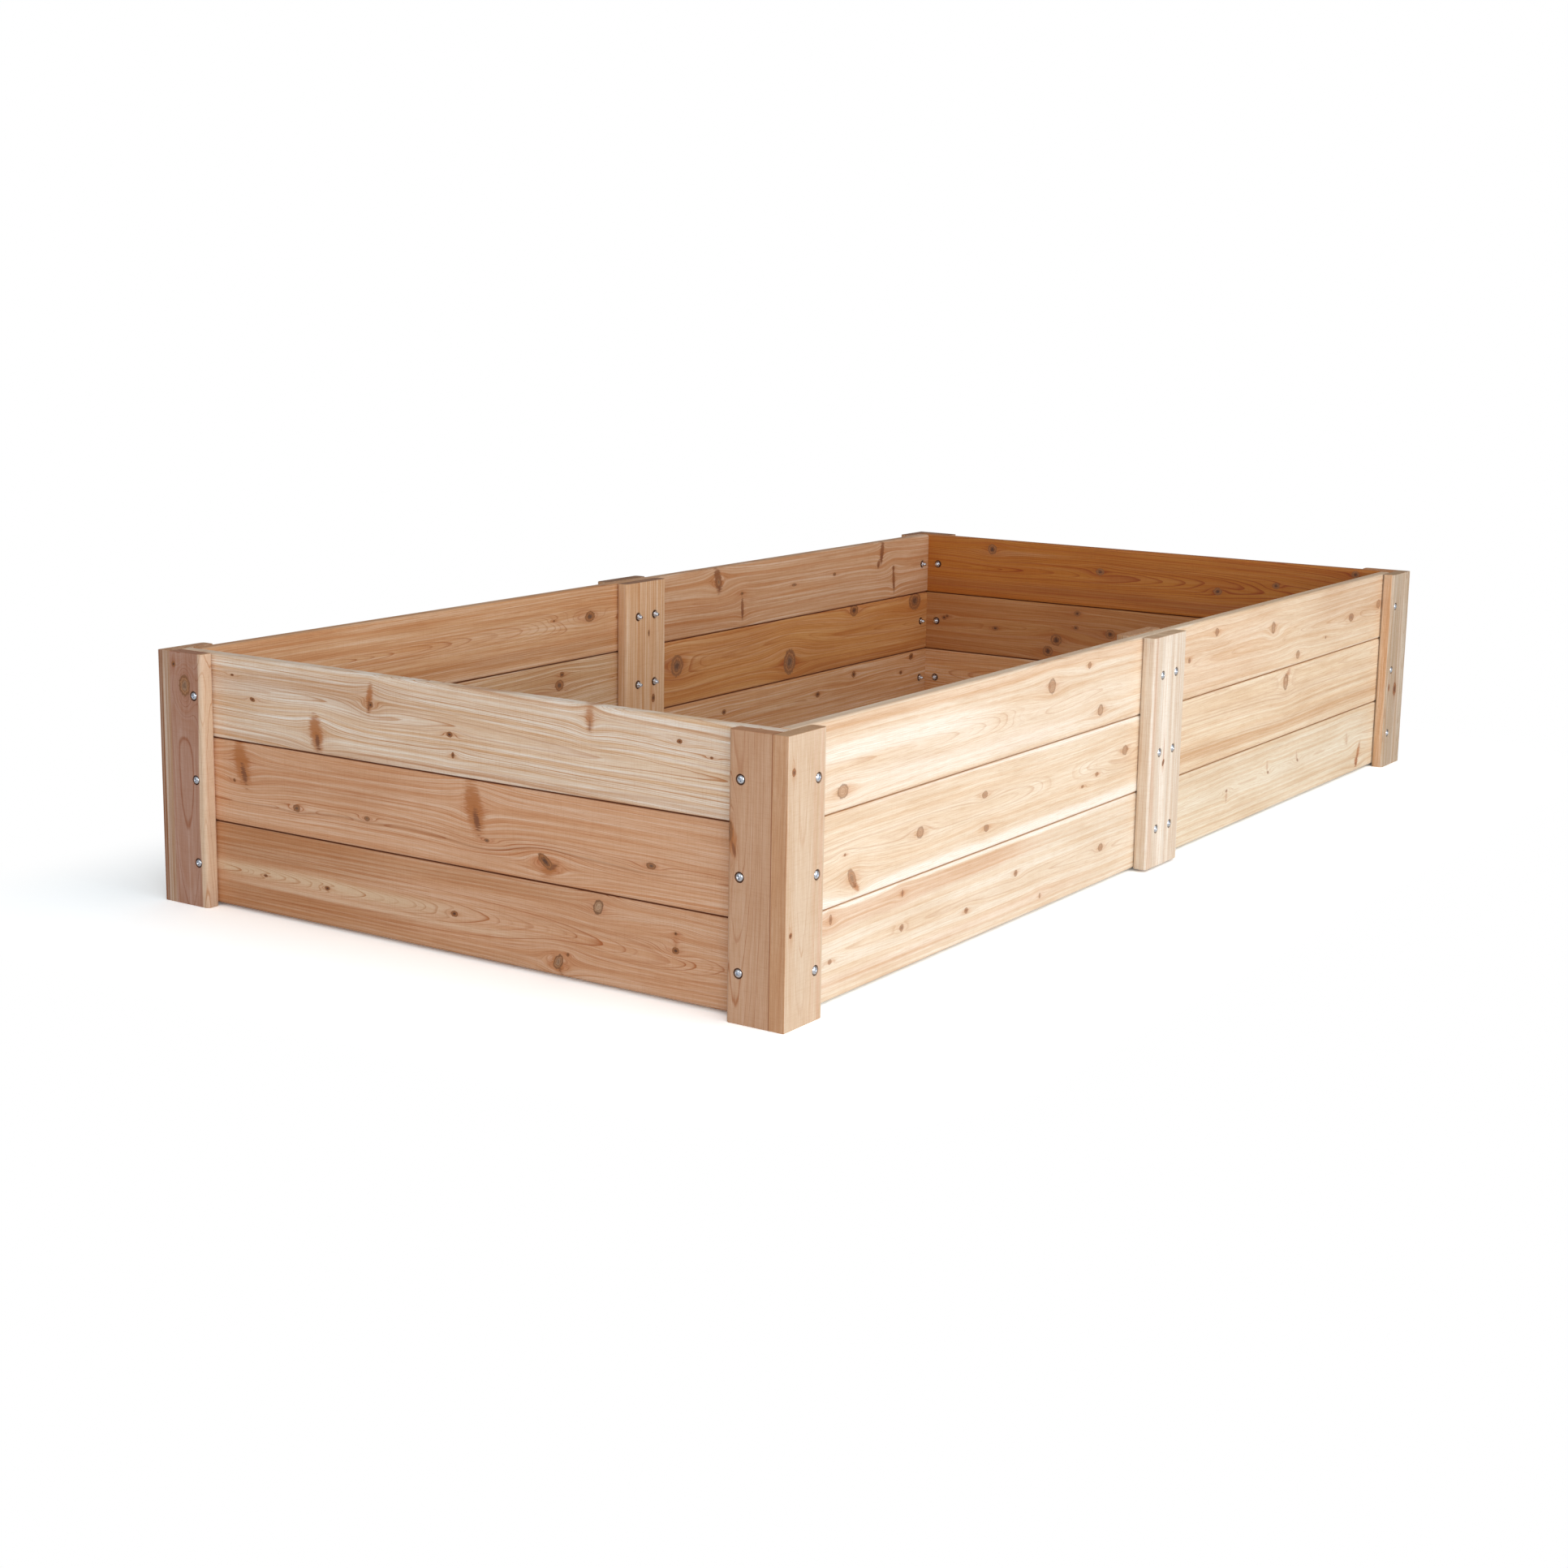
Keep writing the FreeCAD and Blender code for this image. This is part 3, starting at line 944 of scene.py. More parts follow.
wallLooks = {
    "left_end_board_top": {
        "heart": (0.98, 0.919, 0.853), "pith": (4, 4), "taper": 0.012, "slope": 0.028, "spacing": 2.3,
        "lines": 1.0, "ringBands": 0.8, "streaks": 0.6, "pale": 0.3,
        "knots": [(425, 3, 6, 3.5, 15, 0), (172, 22, 6, 5, -30, 0), (469, 38, 4, 2, 0, 0),
                  (13, -5, 6, 4.5, 0, 0), (7, -36, 3, 5, 0, 0), (-411, 35, 5, 3.5, 0, 0),
                  (-466, 18, 3, 2, 0, 0)],
        "flames": [(174, 32, 24, 7, 97, 0.9), (287, -36, 32, 14, 80, 1), (-252, 50, 24, 8, 90, 0.6)],
        "bands": [(30, 16, 8, 100, 620, (0.66, 0.4, 0.22), 0.45),
                  (-56, 5, 3, *wholeBoard, (0.68, 0.43, 0.26), 0.4)],
    },
    "left_end_board_middle": {
        "heart": (0.821, 0.54, 0.366), "pith": (-22, -6), "taper": 0.002, "spacing": 1.7, "lines": 1.0,
        "ringBands": 0.5, "streaks": 0.7, "pale": 0.2, "lift": 5,
        "knots": [(333, -24, 8, 6, 0, 0.2), (183, -20, 6, 4, 0, 0.3), (-58, -20, 5, 3, 0, 0.2),
                  (-170, -36, 17, 8, 35, 0.05), (-363, -14, 9, 5, 0, 0.2), (470, 4, 3, 3, 0, 0)],
        "flames": [(452, 34, 40, 17, 76, 0.95), (-34, 26, 42, 17, 76, 1), (-178, -46, 20, 12, -35, 0.8)],
        "bands": [(20, 20, 12, 100, 470, (0.66, 0.34, 0.17), 0.4),
                  (-23, 1.5, 1.5, -430, 480, (0.5, 0.22, 0.08), 0.6)],
    },
    "left_end_board_bottom": {
        "heart": (0.774, 0.494, 0.323), "pith": (-6, 13.8), "taper": 0.04, "spacing": 1.35, "lines": 1.0,
        "ringBands": 0.3, "streaks": 0.7, "pale": 0.15, "lift": 2.5,
        "knots": [(405, -7, 5, 2.5, 0, 0), (270, -7, 6, 3.5, 0, 0), (7, -6, 7, 5, 0, 0),
                  (-268, 48, 9, 12, 20, 1), (-194, -47, 8, 13, 30, 0.6), (-212, -33, 3, 3, 0, 0),
                  (-407, 6, 7, 5, 0, 0), (-407, 31, 3, 2.5, 0, 0)],
        "flames": [(-192, -50, 20, 9, 60, 0.7), (-407, 20, 14, 5, 90, 0.35)],
        "bands": [(42, 30, 9, 150, 640, (0.54, 0.25, 0.085), 0.62),
                  (-50, 24, 8, 140, 640, (0.54, 0.25, 0.085), 0.62),
                  (48, 12, 8, -200, 150, (0.62, 0.33, 0.15), 0.5),
                  (-58, 12, 8, -200, 140, (0.62, 0.33, 0.15), 0.4)],
        "sapAndHighlightBands": [(-3, 9, 7, 40, 640, (0.84, 0.68, 0.48), 0.6),
                     (-22, 4, 4, -150, 500, (0.88, 0.68, 0.5), 0.5)],
    },
    "front_wall_left_board_top": {
        **frontBoard, "heart": (0.911, 0.811, 0.68), "pith": (-6, 8), "taper": -0.02, "spacing": 2.4,
        "lift": 3,
        "knots": [(-453, -40, 15, 11, 0, 1), (184, 27, 13, 13, 0, 0.8), (366, -38, 10, 10, 0, 0.9),
                  (318, 45, 6, 6, 0, 0.6)],
        "eyes": [(90, -8, 90, 16, 9)],
        "bands": [(54, 9, 5, *wholeBoard, (0.76, 0.52, 0.33), 0.55)],
        "sapAndHighlightBands": [(14, 14, 8, -560, -60, cedarColours["sap"], 0.7),
                     (-40, 12, 9, -380, 250, cedarColours["sap"], 0.5)],
    },
    "front_wall_left_board_middle": {
        **frontBoard, "heart": (0.901, 0.792, 0.643), "pith": (4, 8), "taper": 0.006, "spacing": 2.4,
        "lift": 4,
        "knots": [(-231, -3, 11, 9, 0, 0.85), (-423, -36, 9, 18, 35, 0.3), (-32, 21, 9, 6, 0, 0.5),
                  (-24, -34, 9, 6, -10, 0.5), (469, 15, 11, 9, 0, 0.7), (362, -10, 6, 4, 0, 0.4),
                  (309, -23, 5, 3, 0, 0.2), (-444, 3, 3, 2.5, 0, 0)],
        "eyes": [(234, 5, 95, 20, 13)],
        "flames": [(-412, -50, 12, 6, -40, 0.7)],
        "sapAndHighlightBands": [(-60, 13, 5, *wholeBoard, cedarColours["sap"], 0.95),
                     (66, 7, 4, -360, 620, cedarColours["sap"], 0.95)],
    },
    "front_wall_left_board_bottom": {
        **frontBoard, "heart": (0.901, 0.826, 0.707), "pith": (-4, 4), "taper": 0.01, "slope": -0.01,
        "glow": 0.8,
        "knots": [(-279, -3, 6, 6, 0, 0.1), (-81, -18, 6, 5, 0, 0.1), (80, 10, 6, 6, 0, 0.1),
                  (388, -5, 9, 7, 0, 0.7), (-479, 52, 4, 8, 0, 0.2), (-279, 50, 3, 6, 0, 0.2),
                  (-479, -10, 5, 4, 0, 0.3), (167, -45, 3, 5, 0, 0.5)],
        "bands": [(46, 14, 6, -620, 120, (0.78, 0.53, 0.36), 0.6),
                  (-40, 8, 8, -620, 300, (0.8, 0.57, 0.42), 0.4)],
        "sapAndHighlightBands": [(66, 5, 3, -620, 500, cedarColours["sap"], 0.9)],
    },
    "front_wall_right_board_top": {
        **frontBoard, "heart": (0.898, 0.771, 0.606), "pith": (-3, 6), "taper": 0.02, "streaks": 0.3,
        "glow": 0.6,
        "knots": [(-446, 3, 6, 5, 0, 0.1), (-328, 42, 8, 8, 0, 0.5), (-57, 20, 10, 12, 0, 0.8),
                  (78, -49, 9, 9, 0, 0.8), (363, -5, 14, 9, 0, 0.3), (521, 7, 11, 10, 0, 0.6),
                  (224, -31, 4, 3, 0, 0.2)],
        "eyes": [(-40, 2, 40, 10, 7)],
        "bands": [(0, 60, 20, -620, -60, (0.85, 0.66, 0.49), 0.6),
                  (30, 40, 20, 150, 620, (0.7, 0.49, 0.33), 0.5)],
    },
    "front_wall_right_board_middle": {
        **frontBoard, "heart": (0.898, 0.771, 0.595), "pith": (45, 40), "taper": 0.005, "spacing": 2.3,
        "streaks": 0.3,
        "knots": [(22, 41, 12, 17, 0, 0.9)],
        "flames": [(30, 56, 16, 8, 30, 0.5)],
        "bands": [(-37, 13, 7, *wholeBoard, (0.66, 0.41, 0.21), 0.5),
                  (-5, 4, 4, 60, 620, (0.66, 0.41, 0.21), 0.35),
                  (22, 10, 8, -300, 620, (0.76, 0.54, 0.35), 0.3)],
    },
    "front_wall_right_board_bottom": {
        **frontBoard, "heart": (0.881, 0.809, 0.666), "pith": (6, 3), "taper": 0.002, "streaks": 0.3,
        "glow": 0.3,
        "knots": [(-246, 4, 5, 3, 0, 0), (-44, 7, 5, 3, -20, 0), (108, 8, 6, 3, -30, 0)],
        "flames": [(-245, -6, 15, 5, 85, 0.35), (-50, 20, 15, 4, 100, 0.35), (102, 18, 12, 4, 105, 0.35),
                   (452, -30, 26, 8, 70, 0.75), (445, -48, 12, 10, 90, 0.9), (380, 10, 16, 5, 100, 0.35)],
    },
    "back_wall_left_board_top": {
        "heart": (0.72, 0.45, 0.255), "pith": (7, 4), "taper": -0.03, "spacing": 2.3, "lines": 0.8,
        "pale": 0.25,
        "knots": [(432, 12, 16, 11, 0, 0.1), (320, 15, 3, 2.5, 0, 0)],
        "eyes": [(400, 12, 85, 24, 14)],
        "bands": [(-42, 12, 6, *wholeBoard, (0.58, 0.3, 0.12), 0.6),
                  (-62, 4, 3, *wholeBoard, (0.78, 0.56, 0.4), 0.8)],
    },
    "back_wall_left_board_middle": {
        "heart": (0.68, 0.48, 0.3), "pith": (20, 0), "taper": 0.03,
        "knots": [(336, 25, 14, 11, 0, 0.1), (344, 45, 7, 6, 0, 0)],
    },
    "back_wall_left_board_bottom": {
        "heart": (0.62, 0.38, 0.21), "pith": (20, -50),
        "knots": [(100, 12, 10, 7, 0, 0), (-320, -30, 7, 5, 0, 0)],
    },
    "back_wall_right_board_top": {
        "heart": (0.673, 0.431, 0.268), "pith": (4, 0), "taper": 0.008, "spacing": 2.0, "lines": 0.55,
        "ringBands": 0.7, "pale": 0.25, "lift": 2,
        "knots": [(-208, 5, 6, 4, 0, 0.1), (-4, 4, 10, 3.5, 0, 0.3), (162, 12, 7, 4, 0, 0.2),
                  (-296, 38, 7, 10, 20, 0.3)],
        "flames": [(-298, 42, 26, 12, 105, 1.35), (-206, -28, 24, 5.2, 92, 1.2),
                   (368, 44, 26, 7.5, 82, 1.5), (354, 18, 10, 6, 70, 1.35), (424, -25, 30, 5.2, 96, 1.2),
                   (422, 2, 5, 7.5, 0, 1.35)],
        "flameColour": (0.24, 0.08, 0.025),
        "bands": [(-30, 30, 16, -620, -200, (0.55, 0.27, 0.11), 0.5)],
    },
    "back_wall_right_board_middle": {
        "heart": (0.666, 0.341, 0.114), "pith": (12, 10), "taper": 0.02, "spacing": 2.6, "lines": 0.75,
        "pale": 0.12, "lift": 6,
        "knots": [(-444, 15, 22, 23, 0, 0.12), (-18, -29, 24, 29, 0, 0.2), (250, 58, 18, 14, 0, 0.02),
                  (525, 52, 28, 22, 0, 0.1)],
        "bands": [(25, 25, 16, -620, -100, (0.63, 0.34, 0.15), 0.6),
                  (-50, 10, 6, 40, 620, (0.5, 0.2, 0.06), 0.5)],
    },
    "back_wall_right_board_bottom": {
        "heart": (0.749, 0.463, 0.253), "pith": (15, 0), "taper": 0.01, "lines": 0.7,
        "knots": [(-271, 31, 8, 6, 0, 0), (101, 19, 9, 7, 0, 0), (254, 46, 9, 8, 0, 0),
                  (514, 56, 10, 8, 20, 0), (468, 23, 7, 5, 0, 0)],
    },
    "right_end_board_top": {
        "heart": (0.571, 0.222, 0.027), "pith": (6, 8), "taper": 0.04, "spacing": 2.6, "lines": 1.0,
        "lineStart": 0.3, "pale": 0.04,
        "knots": [(385, 46, 12, 12.6, 0, 0.05), (102, 15, 10.5, 8.4, 0, 0.05),
                  (-190, -6, 10.5, 8.4, 0, 0.05), (-327, 18, 9, 7, 0, 0.05), (-507, 57, 9, 8.4, 0, 0.05)],
        "bands": [(40, 4, 3, 250, 380, (0.66, 0.42, 0.25), 0.5),
                  (-40, 12, 8, *wholeBoard, (0.44, 0.16, 0.045), 0.5)],
    },
    "right_end_board_middle": {
        "heart": (0.554, 0.264, 0.091), "pith": (-2, 6), "taper": 0.02, "spacing": 2.3, "lines": 0.6,
        "pale": 0.08,
        "knots": [(510, 10, 7, 5.6, 0, 0), (502, 14, 5.6, 4.2, 0, 0), (370, -3, 9.8, 5.6, 0, 0),
                  (156, 51, 8.4, 7, 0, 0), (158, 17, 7, 5.6, 0, 0), (208, -16, 15.4, 14, 0, 0),
                  (229, -44, 14, 12.6, 20, 0), (70, 10, 12.6, 11.2, 0, 0)],
    },
    "right_end_board_bottom": {
        "heart": (0.796, 0.475, 0.238), "pith": (15, -50),
        "knots": [(-150, 20, 9, 6, 0, 0), (340, -30, 7, 6, 0, 0)],
    },
}

uprightLooks = {
    "front_left_corner_end_board": {
        "heart": (0.636, 0.401, 0.26), "pith": (20, 14), "taper": 0.03, "wander": 16, "spacing": 3.6,
        "lines": 1.0, "lineStart": 0.78, "ringBands": 0.1, "streaks": 0.22, "pale": 0.08,
        # painted shade along the seam where this board meets the side board
        "jointShade": (0.55, 0.36, 0.24), "joints": (1, 0),
        "knots": [(66, 37, 17, 10, 0, 0.1)],
        "flames": [(56, 29, 32, 9, 12, 0.8)],
        # painted highlight: a thin light line along the seam with the side board, where the edge catches the
        # light
        "sapAndHighlightBands": [(-35, 0.9, 0.8, -250, -30, (0.98, 0.9, 0.8), 0.8)],
    },
    "front_left_corner_side_board": {
        "heart": (0.71, 0.564, 0.424), "pith": (-10, 34), "taper": 0.03, "wander": 10, "spacing": 4.2,
        "lines": 0.45, "lineStart": 0.78, "ringBands": 0.15, "streaks": 0.22, "pale": 0.12,
        "edge": (-1, 0, (0.65, 0.385, 0.22), (0.65, 0.385, 0.22)),
        "knots": [(157, -34, 6, 5, 0, 0.1), (-71, -36, 4, 4, 0, 0)],
        "bands": [(36, 4, 3, *wholeUpright, (0.7, 0.47, 0.34), 0.6),
                  (20, 3, 3, *wholeUpright, (0.7, 0.48, 0.35), 0.4)],
    },
    "back_left_corner_end_board": {
        "heart": (0.52, 0.308, 0.237), "pith": (6, 24), "taper": 0.08, "wander": 20, "spacing": 7.0,
        "lines": 1.0, "lineStart": 0.78, "ringBands": 0.4, "streaks": 0.3, "pale": 0.1, "lift": 6,
        "knots": [(155, 3, 18, 13, 0, 0.45), (188, 27, 5, 5, 0, 0)],
        "eyes": [(155, 3, 46, 24, 50)],
        "sapAndHighlightBands": [(-30, 8, 1.5, *wholeUpright, (0.86, 0.66, 0.48), 0.9)],
    },
    "back_left_corner_side_board": {
        "heart": (0.62, 0.4, 0.24), "pith": (30, -50), "endGrainAndShade": (1.0, 0.95, 0.9),
        "edge": (-1, 3.7, (0.6, 0.45, 0.36), (0.36, 0.165, 0.075)),
    },
    "front_right_corner_side_board": {
        "heart": (0.562, 0.48, 0.384), "pith": (30, 50), "lines": 0.4, "ringBands": 0.4,
        "edge": (-1, 0, (0.8, 0.6, 0.43), (0.8, 0.6, 0.43)),
        "knots": [(-43, -2, 15, 10, 0, 0), (-35, -38, 8, 5, 0, 0.1)],
        "bands": [(12, 9, 7, *wholeUpright, (0.62, 0.52, 0.42), 0.8)],
    },
    "front_right_corner_end_board": {"pith": (-60, 60)},
    "back_right_corner_side_board": {**shadedTop, "pith": (30, 70)},
    "back_right_corner_end_board": {**shadedTop, "pith": (-40, 50)},
    "front_outer_brace": {
        "heart": (0.827, 0.764, 0.681), "pith": (-70, 40), "taper": 0.005, "spacing": 4.0, "lines": 0.5,
        "ringBands": 0.3, "streaks": 0.3, "pale": 0.15,
        "knots": [(-20, -11, 7, 4, 30, 0.2)],
        "flames": [(0, -10, 34, 4, 0, 0.3)],
        "bands": [(-52, 6, 4, *wholeUpright, (0.76, 0.52, 0.38), 0.4)],
        "sapAndHighlightBands": [(-12, 12, 7, *wholeUpright, cedarColours["sap"], 0.7),
                     (20, 5, 4, *wholeUpright, cedarColours["sap"], 0.5)],
    },
    "front_inner_brace": {"heart": (0.66, 0.45, 0.28), "pith": (30, 70), "lines": 0.4},
    "back_outer_brace": {**shadedTop, "heart": (0.66, 0.46, 0.29), "pith": (-30, 70), "lines": 0.4},
    "back_inner_brace": {
        **shadedTop, "heart": (0.8, 0.56, 0.36), "pith": (70, -50), "taper": 0.005, "spacing": 4.0,
        "lines": 0.5, "ringBands": 0.8,
        "knots": [(101, 8, 7, 3, 0, 0.1), (-34, 24, 9, 6, 0, 0)],
    },
}


def sharpCornersOf(node):
    # corners of an upright's section that stay sharp: the arris and the butt between two post boards
    if "corner_side_board" in node:
        return (0, 3) if "left" in node else (1, 2)
    if "corner_end_board" in node:
        return (0, 3) if "front" in node else (1, 2)
    return ()


courseJoints = {"bottom": (0, 1), "middle": (1, 1), "top": (1, 0)}
seedValues = {"wall": 3.7, "wallStep": 5.3, "upright": 101.9, "uprightStep": 4.1}
for number, (node, look) in enumerate(wallLooks.items()):
    joints = courseJoints[node.split("_")[-1]]
    seed = seedValues["wall"] + seedValues["wallStep"] * number
    makeBoard(node, {**look, "joints": joints}, seed)
for number, (node, look) in enumerate(uprightLooks.items()):
    seed = seedValues["upright"] + seedValues["uprightStep"] * number
    makeBoard(node, look, seed, sharpCornersOf(node))
print("boards made")


# Bolts and nuts

steelValues = {
    "colour": (0.80, 0.83, 0.88),
    "spotColour": (0.6, 0.66, 0.76),
    "spotScale": 900,
    "spots": 0.5,
    "roughness": 0.16,
    "roughSpread": 0.14,
    "roughScale": 2500,
    "bumpStrength": 0.15,
    "bumpDistance": 0.05 * millimetre,
}


def makeSteel(name, values):
    material = bpy.data.materials.new(name)
    material.use_nodes = True
    tree = material.node_tree
    shader = tree.nodes["Principled BSDF"]
    point = addNode(tree, "ShaderNodeTexCoord").outputs["Object"]
    spots = noise(tree, point, values["spotScale"], 3)
    tint = layColour(tree, opaque(values["colour"]), spots, values["spots"], values["spotColour"])
    tree.links.new(tint, shader.inputs["Base Color"])
    shader.inputs["Metallic"].default_value = 1
    spread = noise(tree, point, values["roughScale"], 2)
    rough = calc(tree, "ADD", calc(tree, "MULTIPLY", spread, values["roughSpread"]), values["roughness"])
    tree.links.new(rough, shader.inputs["Roughness"])
    bumpInputs = {"Height": spots, "Strength": values["bumpStrength"], "Distance": values["bumpDistance"]}
    tree.links.new(addNode(tree, "ShaderNodeBump", bumpInputs).outputs["Normal"], shader.inputs["Normal"])
    return material


headValues = {
    "radius": 6.3,
    "height": 4.4,
    "rim": 1.3,
    "rimEase": 0.15,
    "domePower": 0.8,
    "domeSteps": 10,
    "roundSteps": 40,
    "crossAbove": 0.6,  # how far the cutter of the cross recess stands out of the crown
    "crossDepth": 2.5,
    "crossTop": (3.6, 0.95),  # half length and half width of an arm
    "crossFloor": (1.7, 0.55),
}
threadValues = {
    "pastNut": 4.85,
    "pitch": 1.27,
    "depth": 0.55,
    "startInNut": 0.5,
    "rows": 26,
    "roundSteps": 28,
    "pointDepth": 0.75,
    "pointSlope": 1.1,
}
nutValues = {
    "acrossFlats": 11.1,
    "hexagonHeight": 5.4,
    "height": 7.9,
    "boreGap": 0.02,
    "roundSteps": 72,
    # (radius, height above the seat, above the hexagon or above the top) of the rounds along its outline
    "seatRim": ((5.7, 0), (6.5, 0.45)),
    "hexagonRim": ((6.5, -0.5), (5.6, 0), (5.1, 0.05), (4.85, 0.3)),
    "collarRim": ((4.85, -0.8), (4.6, -0.25), (4.15, 0), (3.85, -0.05), (3.8, -0.45)),
    "boreTop": -0.5,
}


def crossCutter(crown):
    # tapered cross, an outline of 12 corners at its top and at its floor, with arms of half size a by b
    points, faces = [], []
    topZ, floorZ = crown - headValues["crossAbove"], crown + headValues["crossDepth"]
    for (a, b), z in ((headValues["crossTop"], topZ), (headValues["crossFloor"], floorZ)):
        points += [(a, -b, z), (a, b, z), (b, b, z), (b, a, z), (-b, a, z), (-b, b, z),
                   (-a, b, z), (-a, -b, z), (-b, -b, z), (-b, -a, z), (b, -a, z), (b, -b, z)]
    count = len(points) // 2
    for i in range(count):
        j = (i + 1) % count
        faces.append((i, j, count + j, count + i))
    faces += [tuple(range(count - 1, -1, -1)), tuple(range(count, 2 * count))]
    mesh = bpy.data.meshes.new("cross")
    mesh.from_pydata(points, [], faces)
    return mesh


def threadMesh(startZ, endZ, values):
    # r = R - depth |saw(z / pitch - angle / turn)|, and no more than the cone of the point
    shank = fastenerValues["boltRadius"]
    z = np.linspace(startZ, endZ, values["rows"])[:, None]
    angle = np.linspace(0, 2 * math.pi, values["roundSteps"], endpoint=False)[None, :]
    saw = np.abs(((z / values["pitch"] - angle / (2 * math.pi)) % 1) * 2 - 1)
    cone = shank - values["pointDepth"] + (endZ - z) * values["pointSlope"]
    radius = np.minimum(shank - values["depth"] * saw, cone)
    points = np.stack([radius * np.cos(angle), radius * np.sin(angle), z + 0 * angle], axis=-1)
    return gridMesh("tip", points)


def boltMesh(stack, turn):
    # head: r = R cos(t)^power, z = crown + dome (1 - sin t), then the rim, the shank and the threaded tip
    seatZ, radius = fastenerValues["recessDepth"], headValues["radius"]
    crown, rimZ = seatZ - headValues["height"], seatZ - headValues["rim"]
    t = np.linspace(math.pi / 2, 0, headValues["domeSteps"])[1:]
    domeRadius = radius * np.cos(t) ** headValues["domePower"]
    domeZ = crown + (rimZ - crown) * (1 - np.sin(t))
    shank, ease = fastenerValues["boltRadius"], headValues["rimEase"]
    nutTop = stack - fastenerValues["nutSeatDepth"] + nutValues["height"]
    tipStart = nutTop - threadValues["startInNut"]
    profile = [(0, crown), *zip(domeRadius, domeZ), (radius, seatZ - ease), (radius - ease, seatZ)]
    profile += [(shank, seatZ), (shank, tipStart), (0, tipStart)]
    head = solidMesh(turnedMesh("boltHead", profile, headValues["roundSteps"]))
    head = cutMesh(head, crossCutter(crown))
    head.transform(Matrix.Rotation(turn, 4, "Z"))
    tip = threadMesh(tipStart, nutTop + threadValues["pastNut"], threadValues)
    return joinedMesh("bolt", [(head, Matrix.Identity(4)), (tip, Matrix.Identity(4))])


def nutMesh(stack, turn):
    # r = min(outline radius, (flats / 2) / cos(angle to flat)), so that the rims ease the hexagon's corners
    seatZ = stack - fastenerValues["nutSeatDepth"]
    hexagonZ, topZ = seatZ + nutValues["hexagonHeight"], seatZ + nutValues["height"]
    bore = fastenerValues["boltRadius"] + nutValues["boreGap"]
    rows = [(bore, seatZ)]
    for label, level in (("seatRim", seatZ), ("hexagonRim", hexagonZ), ("collarRim", topZ)):
        rows += [(radius, level + above) for radius, above in nutValues[label]]
    rows.append((bore, topZ + nutValues["boreTop"]))
    radius, z = np.array(rows).T[:, :, None]
    angle = np.linspace(0, 2 * math.pi, nutValues["roundSteps"], endpoint=False)
    toFlat = (angle + math.pi / 6) % (math.pi / 3) - math.pi / 6
    reach = np.minimum(nutValues["acrossFlats"] / 2 / np.cos(toFlat), radius)
    points = np.stack([reach * np.cos(angle + turn), reach * np.sin(angle + turn), z + 0 * angle], axis=-1)
    return gridMesh("nut", points)


brightZinc = makeSteel("brightZinc", steelValues)
boltCount = sum(len(matrices) for matrices in fastenerPlaces.values())
turnSeed = 7
turns = iter(np.random.default_rng(turnSeed).uniform(0, math.pi, 2 * boltCount).tolist())
for group, matrices in fastenerPlaces.items():
    for kind, build in (("bolts", boltMesh), ("nuts", nutMesh)):
        pieces = [(build(stackOf(group), next(turns)), matrix) for matrix in matrices]
        mesh = joinedMesh(kind, pieces)
        finishPiece(f"steel_{group}_{kind}", mesh, f"{group}_{kind}", brightZinc)
print("fasteners made")


# Floor and light

white = (1, 1, 1, 1)
studioValues = {
    "floorSize": 60,
    "floorColour": 0.8,
    "floorSeen": (1.80, 1.92, 1.99),
    "floorFade": (0.06, 0.4),  # distance from the bed over which the seen floor turns plain white
    "world": 0.33,
    "lamps": {
        # name: place, target, size x, size y, power in watts
        "front": ((-0.6, -6, 1.0), (0, 0, 0.2), 6, 2, 160),
        "frontHigh": ((0.5, -4, 4), (0, 0, 0.2), 4, 3, 50),
        "leftFront": ((-5, -4, 2.0), (0, 0, 0.2), 3, 3, 100),
        "left": ((-6, 1, 1.8), (0, 0, 0.2), 3.5, 3, 32),
        "top": ((0, 0, 5.0), (0, 0, 0), 6, 4, 12),
    },
}


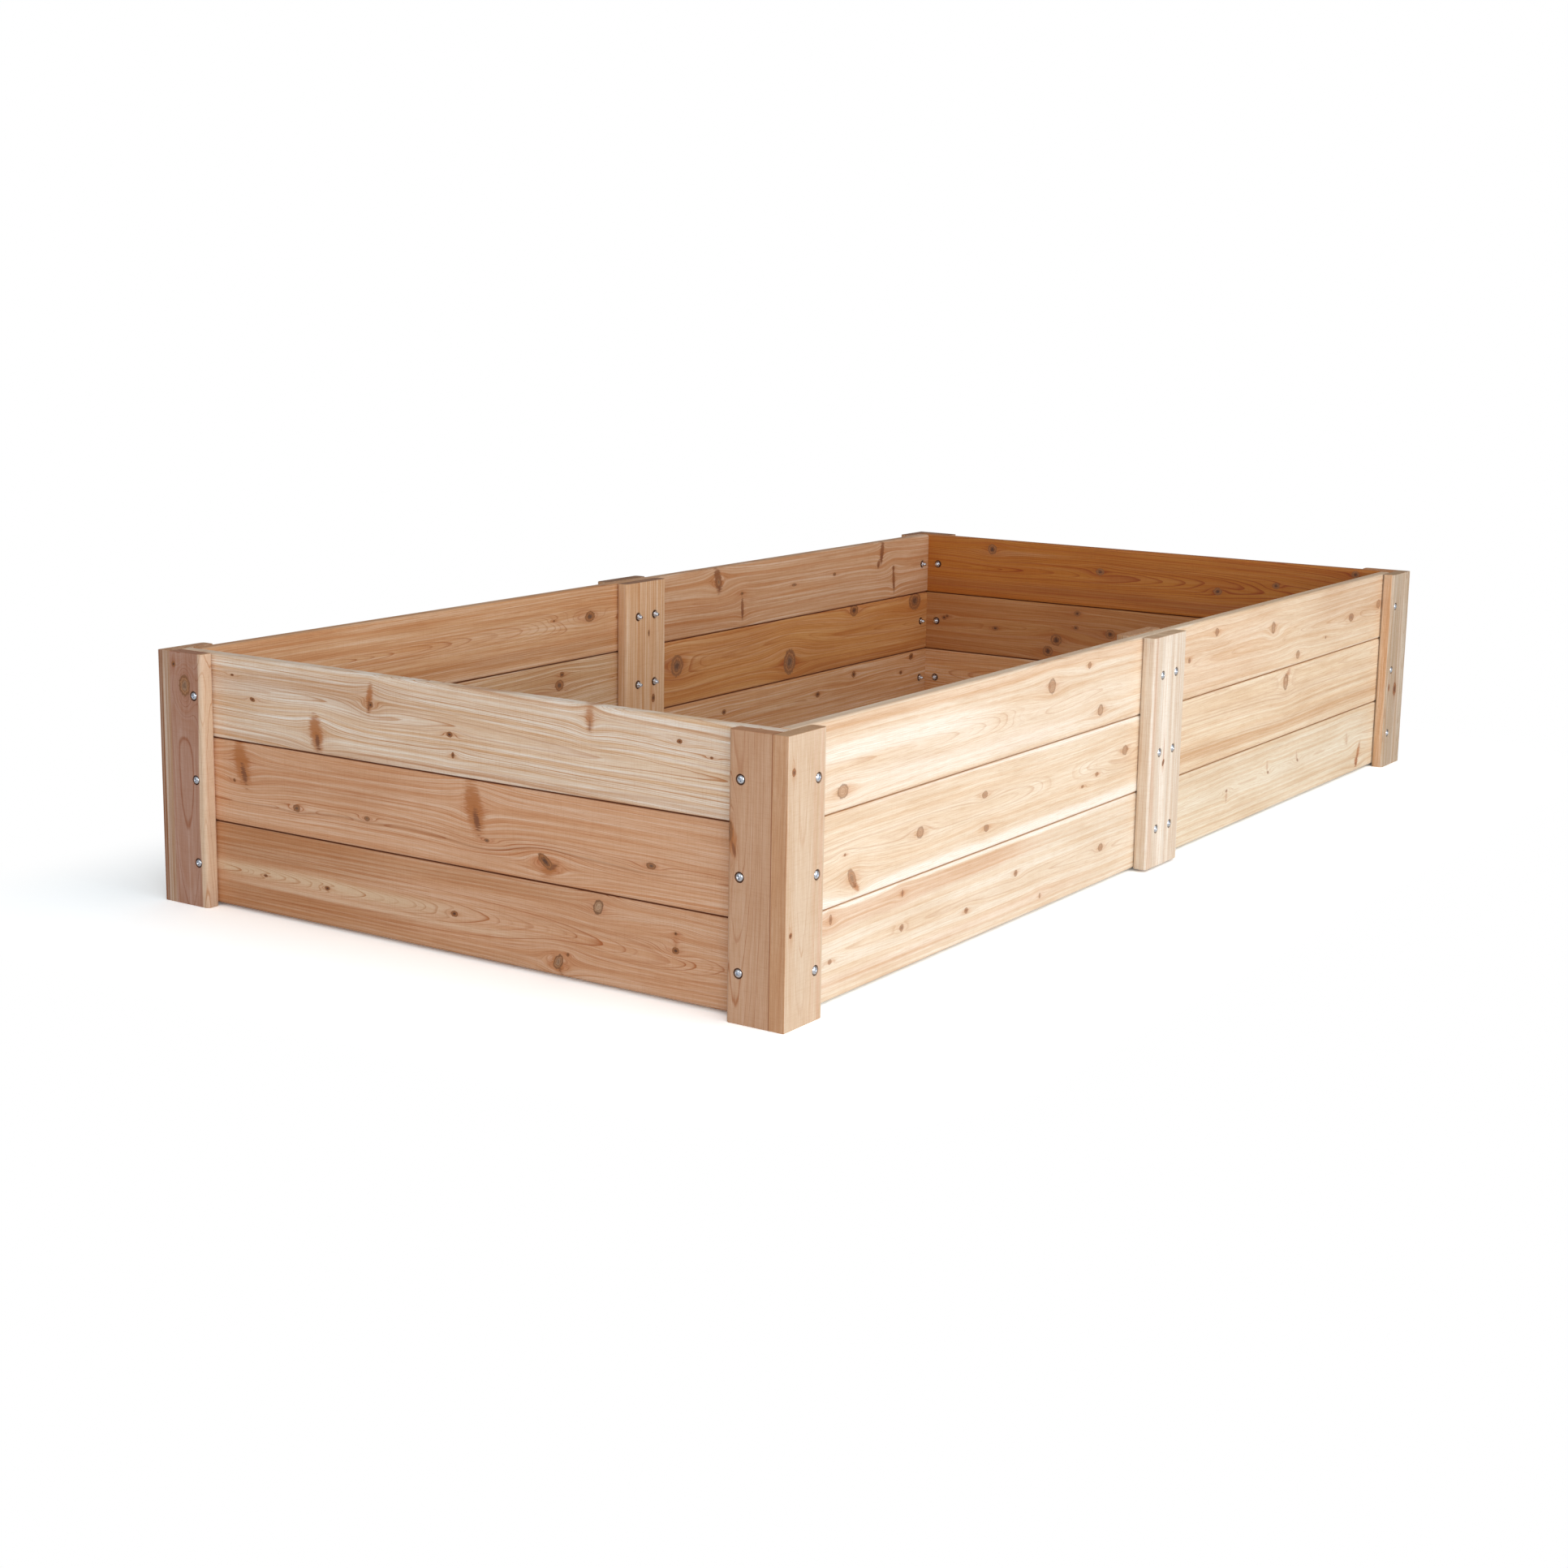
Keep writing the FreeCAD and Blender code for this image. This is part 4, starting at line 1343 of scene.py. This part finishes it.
def makeFloor(values):
    # the camera sees a shadowed floor that fades to plain white; light that bounces meets a grey one
    half = values["floorSize"] / 2
    corners = [(-half, -half, 0), (half, -half, 0), (half, half, 0), (-half, half, 0)]
    mesh = bpy.data.meshes.new("floor")
    mesh.from_pydata(corners, [], [(0, 1, 2, 3)])
    material = bpy.data.materials.new("floor")
    material.use_nodes = True
    tree = material.node_tree
    tree.nodes.remove(tree.nodes["Principled BSDF"])
    real = addNode(tree, "ShaderNodeBsdfDiffuse", {"Color": opaque([values["floorColour"]] * 3)})
    near = addNode(tree, "ShaderNodeBsdfDiffuse", {"Color": opaque(values["floorSeen"])})
    far = addNode(tree, "ShaderNodeEmission", {"Color": white, "Strength": 1.0})
    place = calcVector(tree, "ABSOLUTE", addNode(tree, "ShaderNodeTexCoord").outputs["Object"])
    beside = calcVector(tree, "SUBTRACT", place, (cadBox[1][0], cadBox[1][1], 0))
    beside = calcVector(tree, "LENGTH", calcVector(tree, "MAXIMUM", beside, (0, 0, 0)))
    fade = smoothStep(tree, beside, *values["floorFade"])
    seen = addNode(tree, "ShaderNodeMixShader", {0: fade, 1: near.outputs[0], 2: far.outputs[0]})
    path = addNode(tree, "ShaderNodeLightPath").outputs["Is Camera Ray"]
    mixed = addNode(tree, "ShaderNodeMixShader", {0: path, 1: real.outputs[0], 2: seen.outputs[0]})
    tree.links.new(mixed.outputs[0], tree.nodes["Material Output"].inputs["Surface"])
    mesh.materials.append(material)
    floor = bpy.data.objects.new("floor", mesh)
    bpy.context.scene.collection.objects.link(floor)


def makeWorld(values):
    world = bpy.data.worlds.new("studio")
    world.use_nodes = True
    tree = world.node_tree
    lit = tree.nodes["Background"]
    lit.inputs["Color"].default_value = white
    lit.inputs["Strength"].default_value = values["world"]
    seen = addNode(tree, "ShaderNodeBackground", {"Color": white, "Strength": 1.0})
    path = addNode(tree, "ShaderNodeLightPath").outputs["Is Camera Ray"]
    mixed = addNode(tree, "ShaderNodeMixShader", {0: path, 1: lit.outputs[0], 2: seen.outputs[0]})
    tree.links.new(mixed.outputs[0], tree.nodes["World Output"].inputs["Surface"])
    bpy.context.scene.world = world


def makeLamps(values):
    for name, (place, target, width, height, power) in values["lamps"].items():
        data = bpy.data.lights.new(name, "AREA")
        data.shape = "RECTANGLE"
        data.size, data.size_y = width, height
        data.energy = power
        lamp = bpy.data.objects.new(name, data)
        lamp.location = place
        lamp.rotation_euler = (Vector(target) - Vector(place)).to_track_quat("-Z", "Y").to_euler()
        bpy.context.scene.collection.objects.link(lamp)


makeFloor(studioValues)
makeWorld(studioValues)
makeLamps(studioValues)
bpy.context.scene.view_settings.view_transform = "Standard"
print("studio made")
